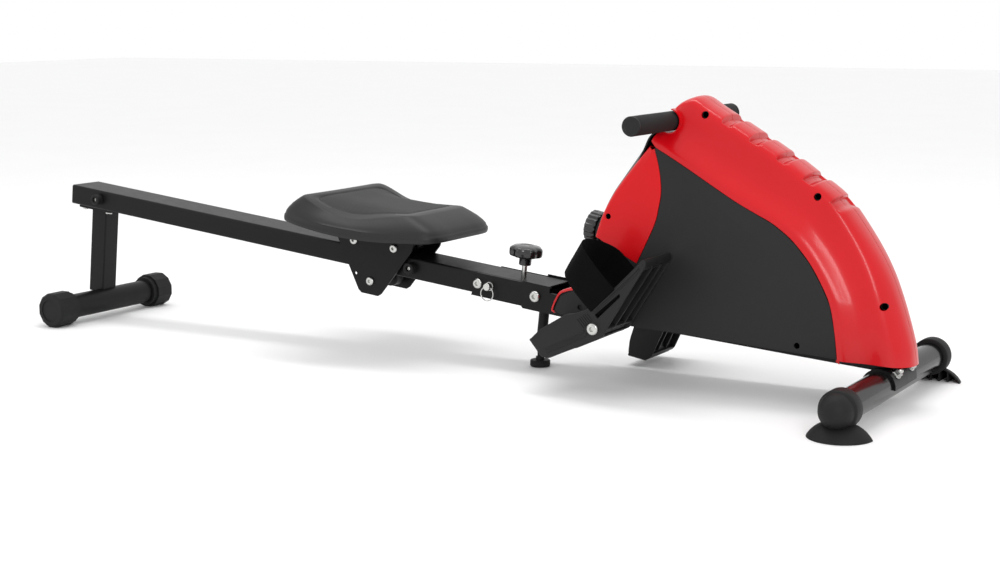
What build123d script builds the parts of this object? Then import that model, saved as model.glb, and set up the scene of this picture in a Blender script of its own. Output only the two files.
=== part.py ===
from build123d import *
from math import atan2, cos, hypot, pi, radians, sin, tan
import os

# Folding magnetic rowing machine, in millimetres. Stations (x) are measured along the floor from the
# rear end of the rail towards the flywheel housing, y is across (the rower's right hand is -y) and z is
# up from the floor. save() moves every node so that x = 0 is the middle of the machine's length.

# ---- driving dimensions ----
MACHINE_MIDDLE = 911.305
TOUCH_GAP = 0.3
RUNNING_GAP = 0.05

RAIL_SLOPE = 6.3
RAIL_TOP_REAR = 283.0
RAIL_LENGTH = 1164.0
RAIL_WIDTH = 80.0
RAIL_HEIGHT = 40.0
RAIL_WALL = 2.0
RAIL_CORNER = 4.0

PIVOT_ALONG = 1144.0
LOCK_ALONG = 1047.0
PAD_SCREW_ALONG = 1021.0
CLAMP_ALONG = 1090.6
MID_HEIGHT = -RAIL_HEIGHT / 2
PIVOT_RADIUS = 6.0
LOCK_PIN_RADIUS = 5.0
CLAMP_ROD_RADIUS = 5.0

FORK_INNER = 41.0
FORK_WALL = 3.0
FORK_FLOOR = -RAIL_HEIGHT - 0.6
FORK_START = 1008.0
BRACKET_START = 1116.0
FORK_STEP = 1172.0
FORK_END = 1240.0

BEAM_START = 1205.0
BEAM_END = 1775.0
BEAM_REAR_BOTTOM = 110.5
BEAM_SLOPE = 4.4
BEAM_HEIGHT = 40.0

REAR_TUBE_X = 48.0
REAR_TUBE_Z = 35.0
REAR_TUBE_HALF = 150.0
FRONT_TUBE_X = 1775.0
FRONT_TUBE_Z = 44.0
FRONT_TUBE_HALF = 232.0
STABILISER_RADIUS = 25.0
POST_ALONG = 59.0
POST_WIDTH = 40.0

LEG_ALONG = 1140.0
LEG_RADIUS = 9.5
LEVEL_FOOT_X = 1118.0

HOUSING_HALF = 77.5
SHELL_WALL = 3.0
PANEL_DEPTH = 2.5
PANEL_GAP = 0.6
SEAM_GAP = 0.4

PEDAL_AXLE_X = 1328.0
PEDAL_AXLE_Z = 120.0
PEDAL_INNER = 88.0
PEDAL_OUTER = 190.0
PEDAL_PITCH_RIGHT = 42.0
PEDAL_PITCH_LEFT = 82.0
PEDAL_STUD_RADIUS = 6.0

HANDLE_X = 1401.5
HANDLE_Z = 460.0
HANDLE_RADIUS = 16.5
HANDLE_HALF = 203.0
HANDLE_GROOVE = 20.0

FLYWHEEL_X = 1595.0
FLYWHEEL_Z = 238.0
FLYWHEEL_RADIUS = 106.0
SPOOL_X = 1425.0
SPOOL_Z = 300.0
BIG_PULLEY_RADIUS = 75.0
SMALL_PULLEY_RADIUS = 20.0
BELT_Y = 30.0
BELT_THICKNESS = 3.0

MAGNET_PIVOT_X = 1478.0
MAGNET_PIVOT_Z = 172.0
MAGNET_PIN_RADIUS = 3.0

DIAL_TILT = 12.0
DIAL_FACE_X = 1222.0
DIAL_FACE_Z = 267.0
DIAL_RADIUS = 29.0
DIAL_DEPTH = 22.0

STOP_RADIUS = 11.0
STOP_LENGTH = 14.0
STOP_DROP = -19.0
STOP_SCREW_RADIUS = 3.0
REAR_STOP_ALONG = 76.4
FRONT_STOP_ALONG = 871.5
CARRIAGE_INNER = 47.0
CARRIAGE_WALL = 3.0
TOP_ROLLER_RADIUS = 12.7
TOP_ROLLER_HEIGHT = 13.0
TOP_ROLLERS_ALONG = (743.0, 835.0)
LOW_ROLLER_RADIUS = 18.6
LOW_ROLLER_HEIGHT = -59.0
LOW_ROLLER_ALONG = 787.0
AXLE_RADIUS = 4.0

SEAT_REAR = 640.0
SEAT_FRONT = 958.0
SEAT_REAR_HALF = 158.0
SEAT_FRONT_HALF = 104.0
SEAT_BOTTOM = 48.0
SEAT_THICKNESS = 44.0


# ---- helpers ----
def prism(points, y_low, y_high):
    """A polygon in the x-z plane, extruded across the machine from y_low to y_high."""
    outline = make_face(Polyline(*[(x, y_low, z) for x, z in points], close=True))
    return extrude(outline, amount=y_high - y_low, dir=(0, 1, 0))


def bar_y(x, z, radius, y_low, y_high):
    """A round bar that lies across the machine."""
    return Pos(x, (y_low + y_high) / 2, z) * Rot(90, 0, 0) * Cylinder(radius, y_high - y_low)


def bar_z(x, y, radius, z_low, z_high):
    """An upright round bar."""
    return Pos(x, y, (z_low + z_high) / 2) * Cylinder(radius, z_high - z_low)


def block(x_low, x_high, y_low, y_high, z_low, z_high):
    """A box given by its two corners."""
    size = Box(x_high - x_low, y_high - y_low, z_high - z_low)
    return Pos((x_low + x_high) / 2, (y_low + y_high) / 2, (z_low + z_high) / 2) * size


def on_rail(shape):
    """Moves a shape from the rail's own frame (along, across, above its top) into the machine."""
    return Pos(0, 0, RAIL_TOP_REAR) * Rot(0, RAIL_SLOPE, 0) * shape


def mirrored(shape):
    """The same shape on the other side of the machine's middle plane."""
    return mirror(shape, about=Plane.XZ)


def both_sides(shape):
    """A list with the shape and its mirror image."""
    return [shape, mirrored(shape)]


def inset(points, distance):
    """A closed outline moved inwards by a distance, corner by corner. Corners run anticlockwise."""
    moved = []
    for index, (x, z) in enumerate(points):
        before = points[index - 1]
        after = points[(index + 1) % len(points)]
        in_length = hypot(x - before[0], z - before[1])
        out_length = hypot(after[0] - x, after[1] - z)
        in_normal = ((before[1] - z) / in_length, (x - before[0]) / in_length)
        out_normal = ((z - after[1]) / out_length, (after[0] - x) / out_length)
        share = 1 + in_normal[0] * out_normal[0] + in_normal[1] * out_normal[1]
        step_x = (in_normal[0] + out_normal[0]) / share
        step_z = (in_normal[1] + out_normal[1]) / share
        moved.append((x + distance * step_x, z + distance * step_z))
    return moved


def section(points, y):
    """A flat face in the x-z plane at one distance across the machine."""
    return make_face(Polyline(*[(x, y, z) for x, z in points], close=True))


def button_head(radius, height, socket):
    """A domed screw head, flat side at z = 0, with a hexagon socket."""
    head = Pos(0, 0, height / 2) * Cylinder(radius, height)
    head = fillet(head.edges().sort_by(Axis.Z)[-1], height * 0.7)
    key = extrude(Pos(0, 0, height * 0.35) * RegularPolygon(socket, 6), amount=height)
    return head - key


def facing(shape, x, y, z, side):
    """Turns a part built upwards along z so that it faces across the machine, at side +1 or -1."""
    return Pos(x, y, z) * Rot(-90 * side, 0, 0) * shape


def save(name, shape):
    """Writes one node, moved so that the machine's middle is at x = 0."""
    solids = shape if isinstance(shape, list) else [shape]
    placed = [Pos(-MACHINE_MIDDLE, 0, 0) * solid for solid in solids]
    whole = Compound([part for item in placed for part in item.solids()])
    export_step(whole, f"parts/{name}.step")


# ---- rail and rear support ----
def rail():
    outer = block(0, RAIL_LENGTH, -RAIL_WIDTH / 2, RAIL_WIDTH / 2, -RAIL_HEIGHT, 0)
    outer = fillet(outer.edges().filter_by(Axis.X), RAIL_CORNER)
    inner_half = RAIL_WIDTH / 2 - RAIL_WALL
    inner = block(-1, RAIL_LENGTH + 1, -inner_half, inner_half, -RAIL_HEIGHT + RAIL_WALL, -RAIL_WALL)
    tube = outer - inner
    beyond = block(PIVOT_ALONG, RAIL_LENGTH + 5, -50, 50, -RAIL_HEIGHT - 5, MID_HEIGHT)
    tube -= beyond - bar_y(PIVOT_ALONG, MID_HEIGHT, RAIL_HEIGHT / 2, -51, 51)
    tube -= bar_y(PIVOT_ALONG, MID_HEIGHT, 8.0, -50, 50)
    slot_half = LOCK_PIN_RADIUS + 0.8
    tube -= bar_y(LOCK_ALONG, MID_HEIGHT, slot_half, -50, 50)
    tube -= block(LOCK_ALONG - slot_half, LOCK_ALONG + slot_half + 2, -50, 50, -RAIL_HEIGHT - 5, MID_HEIGHT)
    tube -= bar_z(CLAMP_ALONG, 0, CLAMP_ROD_RADIUS + RUNNING_GAP, -RAIL_HEIGHT - 1, 1)
    for along in (REAR_STOP_ALONG, FRONT_STOP_ALONG):
        tube -= bar_y(along, STOP_DROP, STOP_SCREW_RADIUS, -50, 50)
    return on_rail(tube)


def rail_bushing():
    sleeve = bar_y(PIVOT_ALONG, MID_HEIGHT, 8.0, -RAIL_WIDTH / 2 - 0.6, RAIL_WIDTH / 2 + 0.6)
    return on_rail(sleeve - bar_y(PIVOT_ALONG, MID_HEIGHT, PIVOT_RADIUS + RUNNING_GAP, -60, 60))


def rail_end_plug():
    half = RAIL_WIDTH / 2 - RAIL_WALL
    plug = block(0.5, 14, -half, half, -RAIL_HEIGHT + RAIL_WALL, -RAIL_WALL)
    hollow = block(4, 15, -half + 3, half - 3, -RAIL_HEIGHT + RAIL_WALL + 3, -RAIL_WALL - 3)
    return on_rail(plug - hollow)


def post_plate():
    plate = block(POST_ALONG - 45, POST_ALONG + 45, -35, 35, -RAIL_HEIGHT - 5, -RAIL_HEIGHT)
    return on_rail(fillet(plate.edges().filter_by(Axis.Z), 6))


def rear_post():
    half = POST_WIDTH / 2
    outer = block(POST_ALONG - half, POST_ALONG + half, -half, half, -224, -RAIL_HEIGHT - 5)
    outer = fillet(outer.edges().filter_by(Axis.Z), 3)
    inner = block(POST_ALONG - half + 2, POST_ALONG + half - 2, -half + 2, half - 2, -230, -RAIL_HEIGHT - 5)
    tube = on_rail(outer - inner)
    return tube - bar_y(REAR_TUBE_X, REAR_TUBE_Z, STABILISER_RADIUS, -60, 60)


def rear_tube():
    outer = bar_y(REAR_TUBE_X, REAR_TUBE_Z, STABILISER_RADIUS, -REAR_TUBE_HALF, REAR_TUBE_HALF)
    return outer - bar_y(REAR_TUBE_X, REAR_TUBE_Z, STABILISER_RADIUS - 2, -200, 200)


def rear_cap():
    """A twelve-sided rubber end cap with a stepped inner rim, on the right side."""
    sides = 12
    flat_to_flat = 2 * REAR_TUBE_Z
    corner_radius = flat_to_flat / 2 / cos(pi / sides)
    outline = Rot(0, 0, 180 / sides) * RegularPolygon(corner_radius, sides)
    body = extrude(outline, amount=46)
    body = chamfer(body.faces().sort_by(Axis.Z)[-1].edges(), 4)
    rim = Pos(0, 0, -5) * Cylinder(REAR_TUBE_Z - 4, 10)
    recess = Pos(0, 0, 46) * Cylinder(23, 3)
    socket = Pos(0, 0, 12) * Cylinder(STABILISER_RADIUS, 50)
    cap = body + rim - recess - socket
    return facing(cap, REAR_TUBE_X, -122, REAR_TUBE_Z, -1)


def rail_stops():
    """Four rubber stops on the rail's sides, each with a recess for its screw."""
    stops = []
    for along in (REAR_STOP_ALONG, FRONT_STOP_ALONG):
        bush = Pos(0, 0, STOP_LENGTH / 2) * Cylinder(STOP_RADIUS, STOP_LENGTH)
        bush = fillet(bush.edges().sort_by(Axis.Z)[-1], 2)
        bush -= Pos(0, 0, STOP_LENGTH) * Cylinder(5.2, 14)
        bush -= Cylinder(STOP_SCREW_RADIUS, 60)
        stop = on_rail(facing(bush, along, -RAIL_WIDTH / 2, STOP_DROP, -1))
        stops += both_sides(stop)
    return stops


def rail_screws():
    """The stops' socket screws and the four bolts that hold the rear post's plate under the rail."""
    screws = []
    for along in (REAR_STOP_ALONG, FRONT_STOP_ALONG):
        shank = Pos(0, 0, 1.5) * Cylinder(STOP_SCREW_RADIUS, 11)
        head = Pos(0, 0, 7) * button_head(5.0, 4.0, 2.4)
        screw = on_rail(facing(shank + head, along, -RAIL_WIDTH / 2, STOP_DROP, -1))
        screws += both_sides(screw)
    for along in (POST_ALONG - 33, POST_ALONG + 33):
        for across in (-25, 25):
            shape = Rot(180, 0, 0) * button_head(7.0, 4.5, 3.0)
            screws.append(on_rail(Pos(along, across, -RAIL_HEIGHT - 5) * shape))
    return screws


# ---- seat carriage ----
CARRIAGE_OUTLINE = [(703, 14), (761, -80), (768, -85), (806, -85), (813, -80), (874, 12), (880, 37), (699, 37)]


def carriage_plate():
    plate = prism(CARRIAGE_OUTLINE, -CARRIAGE_INNER - CARRIAGE_WALL, -CARRIAGE_INNER)
    for along in TOP_ROLLERS_ALONG:
        plate -= bar_y(along, TOP_ROLLER_HEIGHT, AXLE_RADIUS, -60, 0)
    plate -= bar_y(LOW_ROLLER_ALONG, LOW_ROLLER_HEIGHT, AXLE_RADIUS, -60, 0)
    plate -= bar_y(752, -50, 3.0, -60, 0)
    return on_rail(plate)


def carriage_top():
    top = block(700, 879, -CARRIAGE_INNER, CARRIAGE_INNER, 33, 37)
    for along in (720, 860):
        for across in (-30, 30):
            top -= bar_z(along, across, 4.2, 30, 40)
    return on_rail(top)


def seat_base():
    outline = seat_outline(12)
    board = extrude(Pos(0, 0, 37) * outline, amount=SEAT_BOTTOM - 0.2 - 37)
    return on_rail(board)


def seat_outline(margin):
    """The seat's plan, wide at the rear and narrow at the front, drawn smaller by a margin."""
    rear = SEAT_REAR + margin
    front = SEAT_FRONT - margin
    rear_half = SEAT_REAR_HALF - margin
    front_half = SEAT_FRONT_HALF - margin
    right = [(rear + 18, -rear_half), (rear + 150, -rear_half + 12), (front - 14, -front_half)]
    corner = [(front, -front_half + 14), (front, front_half - 14)]
    left = [(x, -y) for x, y in reversed(right)]
    tail = [(rear, rear_half - 22), (rear, -rear_half + 22)]
    return make_face(Polyline(*(right + corner + left + tail), close=True))


def seat_pad():
    low = Pos(0, 0, SEAT_BOTTOM) * seat_outline(0)
    middle = Pos(0, 0, SEAT_BOTTOM + 14) * seat_outline(1)
    high = Pos(0, 0, SEAT_BOTTOM + SEAT_THICKNESS) * seat_outline(30)
    return on_rail(loft([low, middle, high], ruled=True))


def seat_screws():
    """Four screws that hold the seat to the carriage, seen from below."""
    screws = []
    for along in (720, 860):
        for across in (-30, 30):
            head = Pos(along, across, 33) * Rot(180, 0, 0) * button_head(7.0, 3.5, 3.0)
            screws.append(on_rail(head + bar_z(along, across, 4.2, 33, 37)))
    return screws


def roller_axles():
    """Three axle bolts through the carriage plates, with a head at each end."""
    axles = []
    outer = CARRIAGE_INNER + CARRIAGE_WALL
    places = [(along, TOP_ROLLER_HEIGHT) for along in TOP_ROLLERS_ALONG]
    places.append((LOW_ROLLER_ALONG, LOW_ROLLER_HEIGHT))
    for along, above in places:
        axle = bar_y(along, above, AXLE_RADIUS, -outer, outer)
        axle += facing(button_head(8.5, 5.0, 3.5), along, -outer, above, -1)
        axle += facing(button_head(8.5, 5.0, 3.5), along, outer, above, 1)
        axles.append(on_rail(axle))
    return axles


def roller(along, above, radius):
    """Two wheels on one sleeve, free to turn on an axle bolt."""
    body = bar_y(along, above, 7.5, -CARRIAGE_INNER + 1, CARRIAGE_INNER - 1)
    for across in (-25, 25):
        wheel = bar_y(along, above, radius, across - 11, across + 11)
        body += chamfer(wheel.edges().filter_by(GeomType.CIRCLE), 1.5)
    return on_rail(body - bar_y(along, above, AXLE_RADIUS + RUNNING_GAP, -60, 60))


# ---- fork, fold joint and lock ----
def fork_holes(shape):
    for along, radius in ((PIVOT_ALONG, PIVOT_RADIUS), (PAD_SCREW_ALONG, 4.0)):
        shape -= bar_y(along, MID_HEIGHT, radius, -60, 60)
    shape -= bar_y(LOCK_ALONG, MID_HEIGHT, LOCK_PIN_RADIUS + RUNNING_GAP, -60, 60)
    return shape


def fork_channel():
    """The folded steel channel that the rail lies in, open at the top."""
    side = [
        (FORK_START, FORK_FLOOR - FORK_WALL),
        (FORK_END, FORK_FLOOR - FORK_WALL),
        (FORK_END, -9),
        (FORK_STEP, -9),
        (FORK_STEP, 0),
        (FORK_START + 9, 0),
    ]
    outer = FORK_INNER + FORK_WALL
    channel = prism(side, -outer, outer)
    channel -= block(FORK_START - 5, FORK_END + 5, -FORK_INNER, FORK_INNER, FORK_FLOOR, 20)
    return on_rail(fork_holes(channel))


def fork_bracket():
    """The outer reinforcing bracket around the fold joint."""
    low = FORK_FLOOR - 2 * FORK_WALL
    side = [(BRACKET_START + 4, low), (FORK_END - 2, low), (FORK_END - 2, -9), (FORK_STEP, -9), (FORK_STEP, 3)]
    side += [(BRACKET_START, 3), (BRACKET_START, low + 4)]
    inner = FORK_INNER + FORK_WALL
    bracket = prism(side, -inner - FORK_WALL, inner + FORK_WALL)
    bracket -= block(BRACKET_START - 5, FORK_END + 5, -inner, inner, FORK_FLOOR - FORK_WALL, 20)
    return on_rail(fork_holes(bracket))


def pivot_bolt():
    outer = FORK_INNER + 2 * FORK_WALL
    bolt = bar_y(PIVOT_ALONG, MID_HEIGHT, PIVOT_RADIUS, -outer, outer)
    bolt += facing(button_head(10.5, 6.0, 5.0), PIVOT_ALONG, -outer, MID_HEIGHT, -1)
    bolt += facing(button_head(10.5, 6.0, 5.0), PIVOT_ALONG, outer, MID_HEIGHT, 1)
    return on_rail(bolt)


def fork_screws():
    """The two pad screws in the channel's walls and the weld nut under its floor."""
    outer = FORK_INNER + FORK_WALL
    shape = button_head(9.5, 5.5, 4.5) + Pos(0, 0, -FORK_WALL / 2) * Cylinder(4.0, FORK_WALL)
    screw = on_rail(facing(shape, PAD_SCREW_ALONG, -outer, MID_HEIGHT, -1))
    nut = extrude(RegularPolygon(9.5, 6), amount=-8) - Pos(0, 0, -6) * Cylinder(CLAMP_ROD_RADIUS, 6)
    nut = on_rail(Pos(CLAMP_ALONG, 0, FORK_FLOOR - FORK_WALL) * nut)
    return both_sides(screw) + [nut]


def clamp_rod():
    rod = bar_z(CLAMP_ALONG, 0, CLAMP_ROD_RADIUS, FORK_FLOOR + 0.4, 44)
    return on_rail(chamfer(rod.edges().sort_by(Axis.Z)[0], 1.2))


def clamp_knob():
    """A lobed plastic knob on a round hub."""
    lobes = 6
    cap = Pos(0, 0, 13) * Cylinder(29, 22)
    for index in range(lobes):
        turn = 360 / lobes * index
        cap += Rot(0, 0, turn) * Pos(22, 0, 13) * Cylinder(10, 22)
        cap -= Rot(0, 0, turn + 180 / lobes) * Pos(37, 0, 13) * Cylinder(11, 40)
    hub = Pos(0, 0, -5) * Cylinder(11.5, 18)
    knob = cap + hub - Pos(0, 0, 0.5) * Cylinder(CLAMP_ROD_RADIUS + RUNNING_GAP, 30)
    return on_rail(Pos(CLAMP_ALONG, 0, 36) * knob)


def lock_pin():
    """The pull pin that locks the rail down, with a drilled head for its ring."""
    outer = FORK_INNER + FORK_WALL
    pin = bar_y(LOCK_ALONG, MID_HEIGHT, LOCK_PIN_RADIUS, -outer - 3, outer + 4)
    collar = bar_y(LOCK_ALONG, MID_HEIGHT, 8.0, -outer - 3, -outer - 0.2)
    head = bar_y(LOCK_ALONG, MID_HEIGHT, 7.0, -outer - 15, -outer - 3)
    head = fillet(head.edges().filter_by(GeomType.CIRCLE).sort_by(Axis.Y)[0], 2)
    eye = Pos(LOCK_ALONG, -outer - 9, MID_HEIGHT - 1.2) * Rot(0, 90, 0) * Cylinder(2.6, 40)
    return on_rail(pin + collar + head - eye)


def pin_ring():
    """The pull ring that hangs in the eye of the pin's head."""
    outer = FORK_INNER + FORK_WALL
    ring_radius = 13.0
    ring = Rot(90, 0, 0) * Torus(ring_radius, 1.1)
    return on_rail(Pos(LOCK_ALONG, -outer - 9, MID_HEIGHT - 0.2 - ring_radius) * ring)


# ---- middle leg ----
def middle_leg():
    top = FORK_FLOOR - 2 * FORK_WALL
    leg = on_rail(bar_z(LEG_ALONG, 0, LEG_RADIUS, -124, top))
    return leg - bar_z(LEVEL_FOOT_X, 0, 5.0 + RUNNING_GAP, -5, 50)


def level_foot():
    disc = Pos(LEVEL_FOOT_X, 0, 6) * Cylinder(18.5, 12)
    disc = chamfer(disc.edges().filter_by(GeomType.CIRCLE), 1.5)
    ridges = 20
    for index in range(ridges):
        angle = 2 * pi * index / ridges
        disc -= bar_z(LEVEL_FOOT_X + 19.2 * cos(angle), 19.2 * sin(angle), 1.6, -1, 13)
    rod = bar_z(LEVEL_FOOT_X, 0, 5.0, 12, 48)
    nut = Pos(LEVEL_FOOT_X, 0, 12) * extrude(RegularPolygon(9, 6), amount=6)
    return disc + rod + nut


# ---- base frame ----
def beam_point(x, above_bottom):
    """The machine's x and z of a point on the beam, above its lower face."""
    slope = radians(BEAM_SLOPE)
    z = BEAM_REAR_BOTTOM - (x - BEAM_START) * tan(slope)
    return x + above_bottom * sin(slope), z + above_bottom * cos(slope)


def base_beam():
    low_rear = beam_point(BEAM_START, 0)
    low_front = beam_point(BEAM_END, 0)
    high_front = beam_point(BEAM_END, BEAM_HEIGHT)
    high_rear = beam_point(BEAM_START, BEAM_HEIGHT)
    outer = prism([low_rear, low_front, high_front, high_rear], -FORK_INNER, FORK_INNER)
    wall = 2.5
    inner = [beam_point(BEAM_START - 5, wall), beam_point(BEAM_END - 70, wall)]
    inner += [beam_point(BEAM_END - 70, BEAM_HEIGHT - wall), beam_point(BEAM_START - 5, BEAM_HEIGHT - wall)]
    beam = outer - prism(inner, -FORK_INNER + wall, FORK_INNER - wall)
    beam -= bar_y(FRONT_TUBE_X, FRONT_TUBE_Z, STABILISER_RADIUS + 4, -90, 90)
    return beam - bar_y(PEDAL_AXLE_X, PEDAL_AXLE_Z, 10.0, -90, 90)


def front_saddle():
    """The curved plate, welded to the beam, that sits on the front tube."""
    plate = bar_y(FRONT_TUBE_X, FRONT_TUBE_Z, STABILISER_RADIUS + 4, -55, 55)
    plate -= bar_y(FRONT_TUBE_X, FRONT_TUBE_Z, STABILISER_RADIUS, -60, 60)
    below = prism([(1700, 0), (1900, 0), (1900, 28), (1775, 44), (1700, 66)], -60, 60)
    plate -= below
    for across in (-33, 37):
        plate -= saddle_bore(across, 4.0)
    return plate


def saddle_bore(across, radius):
    """A bore through the front tube's middle, tilted forwards like the saddle's bolts."""
    bore = Rot(0, 48, 0) * Pos(0, 0, 25) * Cylinder(radius, 60)
    return Pos(FRONT_TUBE_X, across, FRONT_TUBE_Z) * bore


def saddle_bolts():
    """Two studs with washer, hexagon nut and domed end on the saddle's front."""
    bolts = []
    for across in (-33, 37):
        seat = STABILISER_RADIUS + 4
        stud = Pos(0, 0, seat - 4) * Cylinder(4.0, 10, align=(Align.CENTER, Align.CENTER, Align.MIN))
        washer = Pos(0, 0, seat + 0.2) * Cylinder(9.5, 1.8, align=(Align.CENTER, Align.CENTER, Align.MIN))
        nut = Pos(0, 0, seat + 2) * extrude(RegularPolygon(8.0, 6), amount=7)
        dome = Pos(0, 0, seat + 9) * Cylinder(5.5, 5, align=(Align.CENTER, Align.CENTER, Align.MIN))
        dome = fillet(dome.edges().sort_by(Axis.Z)[-1], 4.5)
        bolt = Rot(0, 48, 0) * (stud + washer + nut + dome)
        bolts.append(Pos(FRONT_TUBE_X, across, FRONT_TUBE_Z) * bolt)
    return bolts


def front_tube():
    outer = bar_y(FRONT_TUBE_X, FRONT_TUBE_Z, STABILISER_RADIUS, -FRONT_TUBE_HALF, FRONT_TUBE_HALF)
    tube = outer - bar_y(FRONT_TUBE_X, FRONT_TUBE_Z, STABILISER_RADIUS - 2, -300, 300)
    for across in (-33, 37):
        tube -= saddle_bore(across, 4.0)
    return tube


def front_cap():
    """A domed end cap on a hollow fan-shaped foot with three ribs, on the right side."""
    rim_start = -222.0
    rim_end = -244.0
    radius = 32.0
    rim = bar_y(FRONT_TUBE_X, FRONT_TUBE_Z, radius, rim_end, rim_start)
    rim = fillet(rim.edges().filter_by(GeomType.CIRCLE).sort_by(Axis.Y)[-1], 3)
    dome = Pos(FRONT_TUBE_X, rim_end, FRONT_TUBE_Z) * Sphere(31.0)
    dome -= block(FRONT_TUBE_X - 40, FRONT_TUBE_X + 40, rim_end, rim_end + 60, 0, 90)
    cone_y = -228.0
    half_space = block(FRONT_TUBE_X - 60, FRONT_TUBE_X + 60, cone_y - 60, cone_y, -1, 60)
    outside = Pos(FRONT_TUBE_X, cone_y, 15) * Cone(52, 30, 30)
    inside = Pos(FRONT_TUBE_X, cone_y, 13) * Cone(48.5, 25, 30)
    skirt = (outside - inside) & half_space
    for offset in (-24, 0, 24):
        rib = block(FRONT_TUBE_X + offset - 1.5, FRONT_TUBE_X + offset + 1.5, cone_y - 60, cone_y, -1, 60)
        skirt += outside & rib
    cap = rim + dome + skirt
    cap -= bar_y(FRONT_TUBE_X, FRONT_TUBE_Z, STABILISER_RADIUS, -FRONT_TUBE_HALF, -200)
    return cap


def pedal_axle():
    """The cross tube that carries both pedals, with a stud and a screw at each end."""
    tube = bar_y(PEDAL_AXLE_X, PEDAL_AXLE_Z, 10.0, -PEDAL_INNER + 1, PEDAL_INNER - 1)
    stud = bar_y(PEDAL_AXLE_X, PEDAL_AXLE_Z, PEDAL_STUD_RADIUS, -PEDAL_OUTER - 0.6, PEDAL_OUTER + 0.6)
    head = facing(button_head(10.5, 6.0, 5.0), PEDAL_AXLE_X, -PEDAL_OUTER - 0.6, PEDAL_AXLE_Z, -1)
    return tube + stud + head + mirrored(head)


# ---- housing ----
# Each ridge point: x, z, the way inwards from it, and how far it is towards the rounded front (0 to 1).
RIDGE = [
    (1822, 78, (-1.0, 0.06), 1.0),
    (1814, 112, (-0.97, -0.1), 1.0),
    (1799, 163, (-0.95, -0.3), 0.9),
    (1777, 217, (-0.9, -0.43), 0.75),
    (1749, 267, (-0.83, -0.56), 0.6),
    (1714, 315, (-0.74, -0.67), 0.4),
    (1678, 353, (-0.65, -0.76), 0.2),
    (1640, 381, (-0.55, -0.83), 0.05),
    (1540, 440, (-0.5, -0.865), 0.0),
    (1442, 497, (-0.45, -0.89), 0.0),
    (1428, 499, (-0.42, -0.9), 0.0),
    (1403, 480, (-0.2, -0.65), 0.0),
]
REAR_FACE = [(1344, 372), (1314, 333), (1294, 299), (1274, 256), (1274, 205)]
NOSE = [(1230, 167), (1197, 154), (1182, 120), (1213, 113)]
# Half-width of the shell against how far its ridge has moved inwards, at the top and at the front.
SHELL_STEPS = ((0.0, 0.0, 0.0), (9.0, 3.5, 1.0), (21.0, 10.0, 5.0), (50.0, 48.0, 24.0), (77.5, 97.0, 97.0))


def housing_outline(at_top, at_front):
    """The housing's side outline with its ridge moved inwards, anticlockwise seen from the right."""
    ridge = []
    for x, z, (way_x, way_z), share in RIDGE:
        distance = at_top * (1 - share) + at_front * share
        ridge.append((x + way_x * distance, z + way_z * distance))
    return ridge + REAR_FACE + NOSE


def housing_half_outer(half_width):
    """The right half of the housing as one closed solid."""
    faces = []
    for width, at_top, at_front in SHELL_STEPS:
        faces.append(section(housing_outline(at_top, at_front), -width * half_width / HOUSING_HALF))
    return loft(faces, ruled=True)


def housing_half_inner():
    """The hollow inside the right half."""
    faces = []
    for width, at_top, at_front in SHELL_STEPS:
        outline = inset(housing_outline(at_top, at_front), SHELL_WALL)
        y = 1.0 if width == 0 else -width * (HOUSING_HALF - SHELL_WALL - PANEL_DEPTH) / HOUSING_HALF
        faces.append(section(outline, y))
    return loft(faces, ruled=True)


def frame_room():
    """The space that the beam, the fork and the saddle take out of the housing."""
    low = beam_point(BEAM_START - 60, -20)
    front = beam_point(BEAM_END + 60, -20)
    high_front = beam_point(BEAM_END + 60, BEAM_HEIGHT + 1)
    high_rear = beam_point(BEAM_START - 60, BEAM_HEIGHT + 1)
    room = prism([low, front, high_front, high_rear], -FORK_INNER - 0.5, FORK_INNER + 0.5)
    fork = FORK_INNER + 2 * FORK_WALL + 0.5
    room += on_rail(block(FORK_STEP - 20, FORK_END + 4, -fork, fork, -60, -8))
    return room


def panel_outline():
    """The black side panel's outline: the flat side without the red leaf at its rear."""
    edge = [(x, z) for x, z in housing_outline(97.0, 97.0)[:9]]
    leaf = [(1386, 409), (1398, 381), (1402, 345), (1399, 316), (1390, 283), (1357, 229), (1280, 252)]
    low = [(1276, 205), (1232, 163), (1201, 150), (1188, 122), (1214, 115.5)]
    return edge + leaf + low


def handle_room():
    """The groove that the handle lies in, open to the rear, with the pull strap's outlet behind it."""
    groove = bar_y(HANDLE_X, HANDLE_Z, HANDLE_GROOVE, -90, 90)
    way_out = block(1330, HANDLE_X, -90, 90, HANDLE_Z - HANDLE_RADIUS - 0.6, HANDLE_Z + HANDLE_GROOVE + 1)
    outlet = block(HANDLE_X, HANDLE_X + 45, -17, 17, HANDLE_Z - 5, HANDLE_Z + 3)
    return groove + way_out + outlet


def screw_places():
    """Where the housing's screws sit on its side, as x and z."""
    return [(1650, 104), (1303, 297), (1243, 133)]


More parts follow.
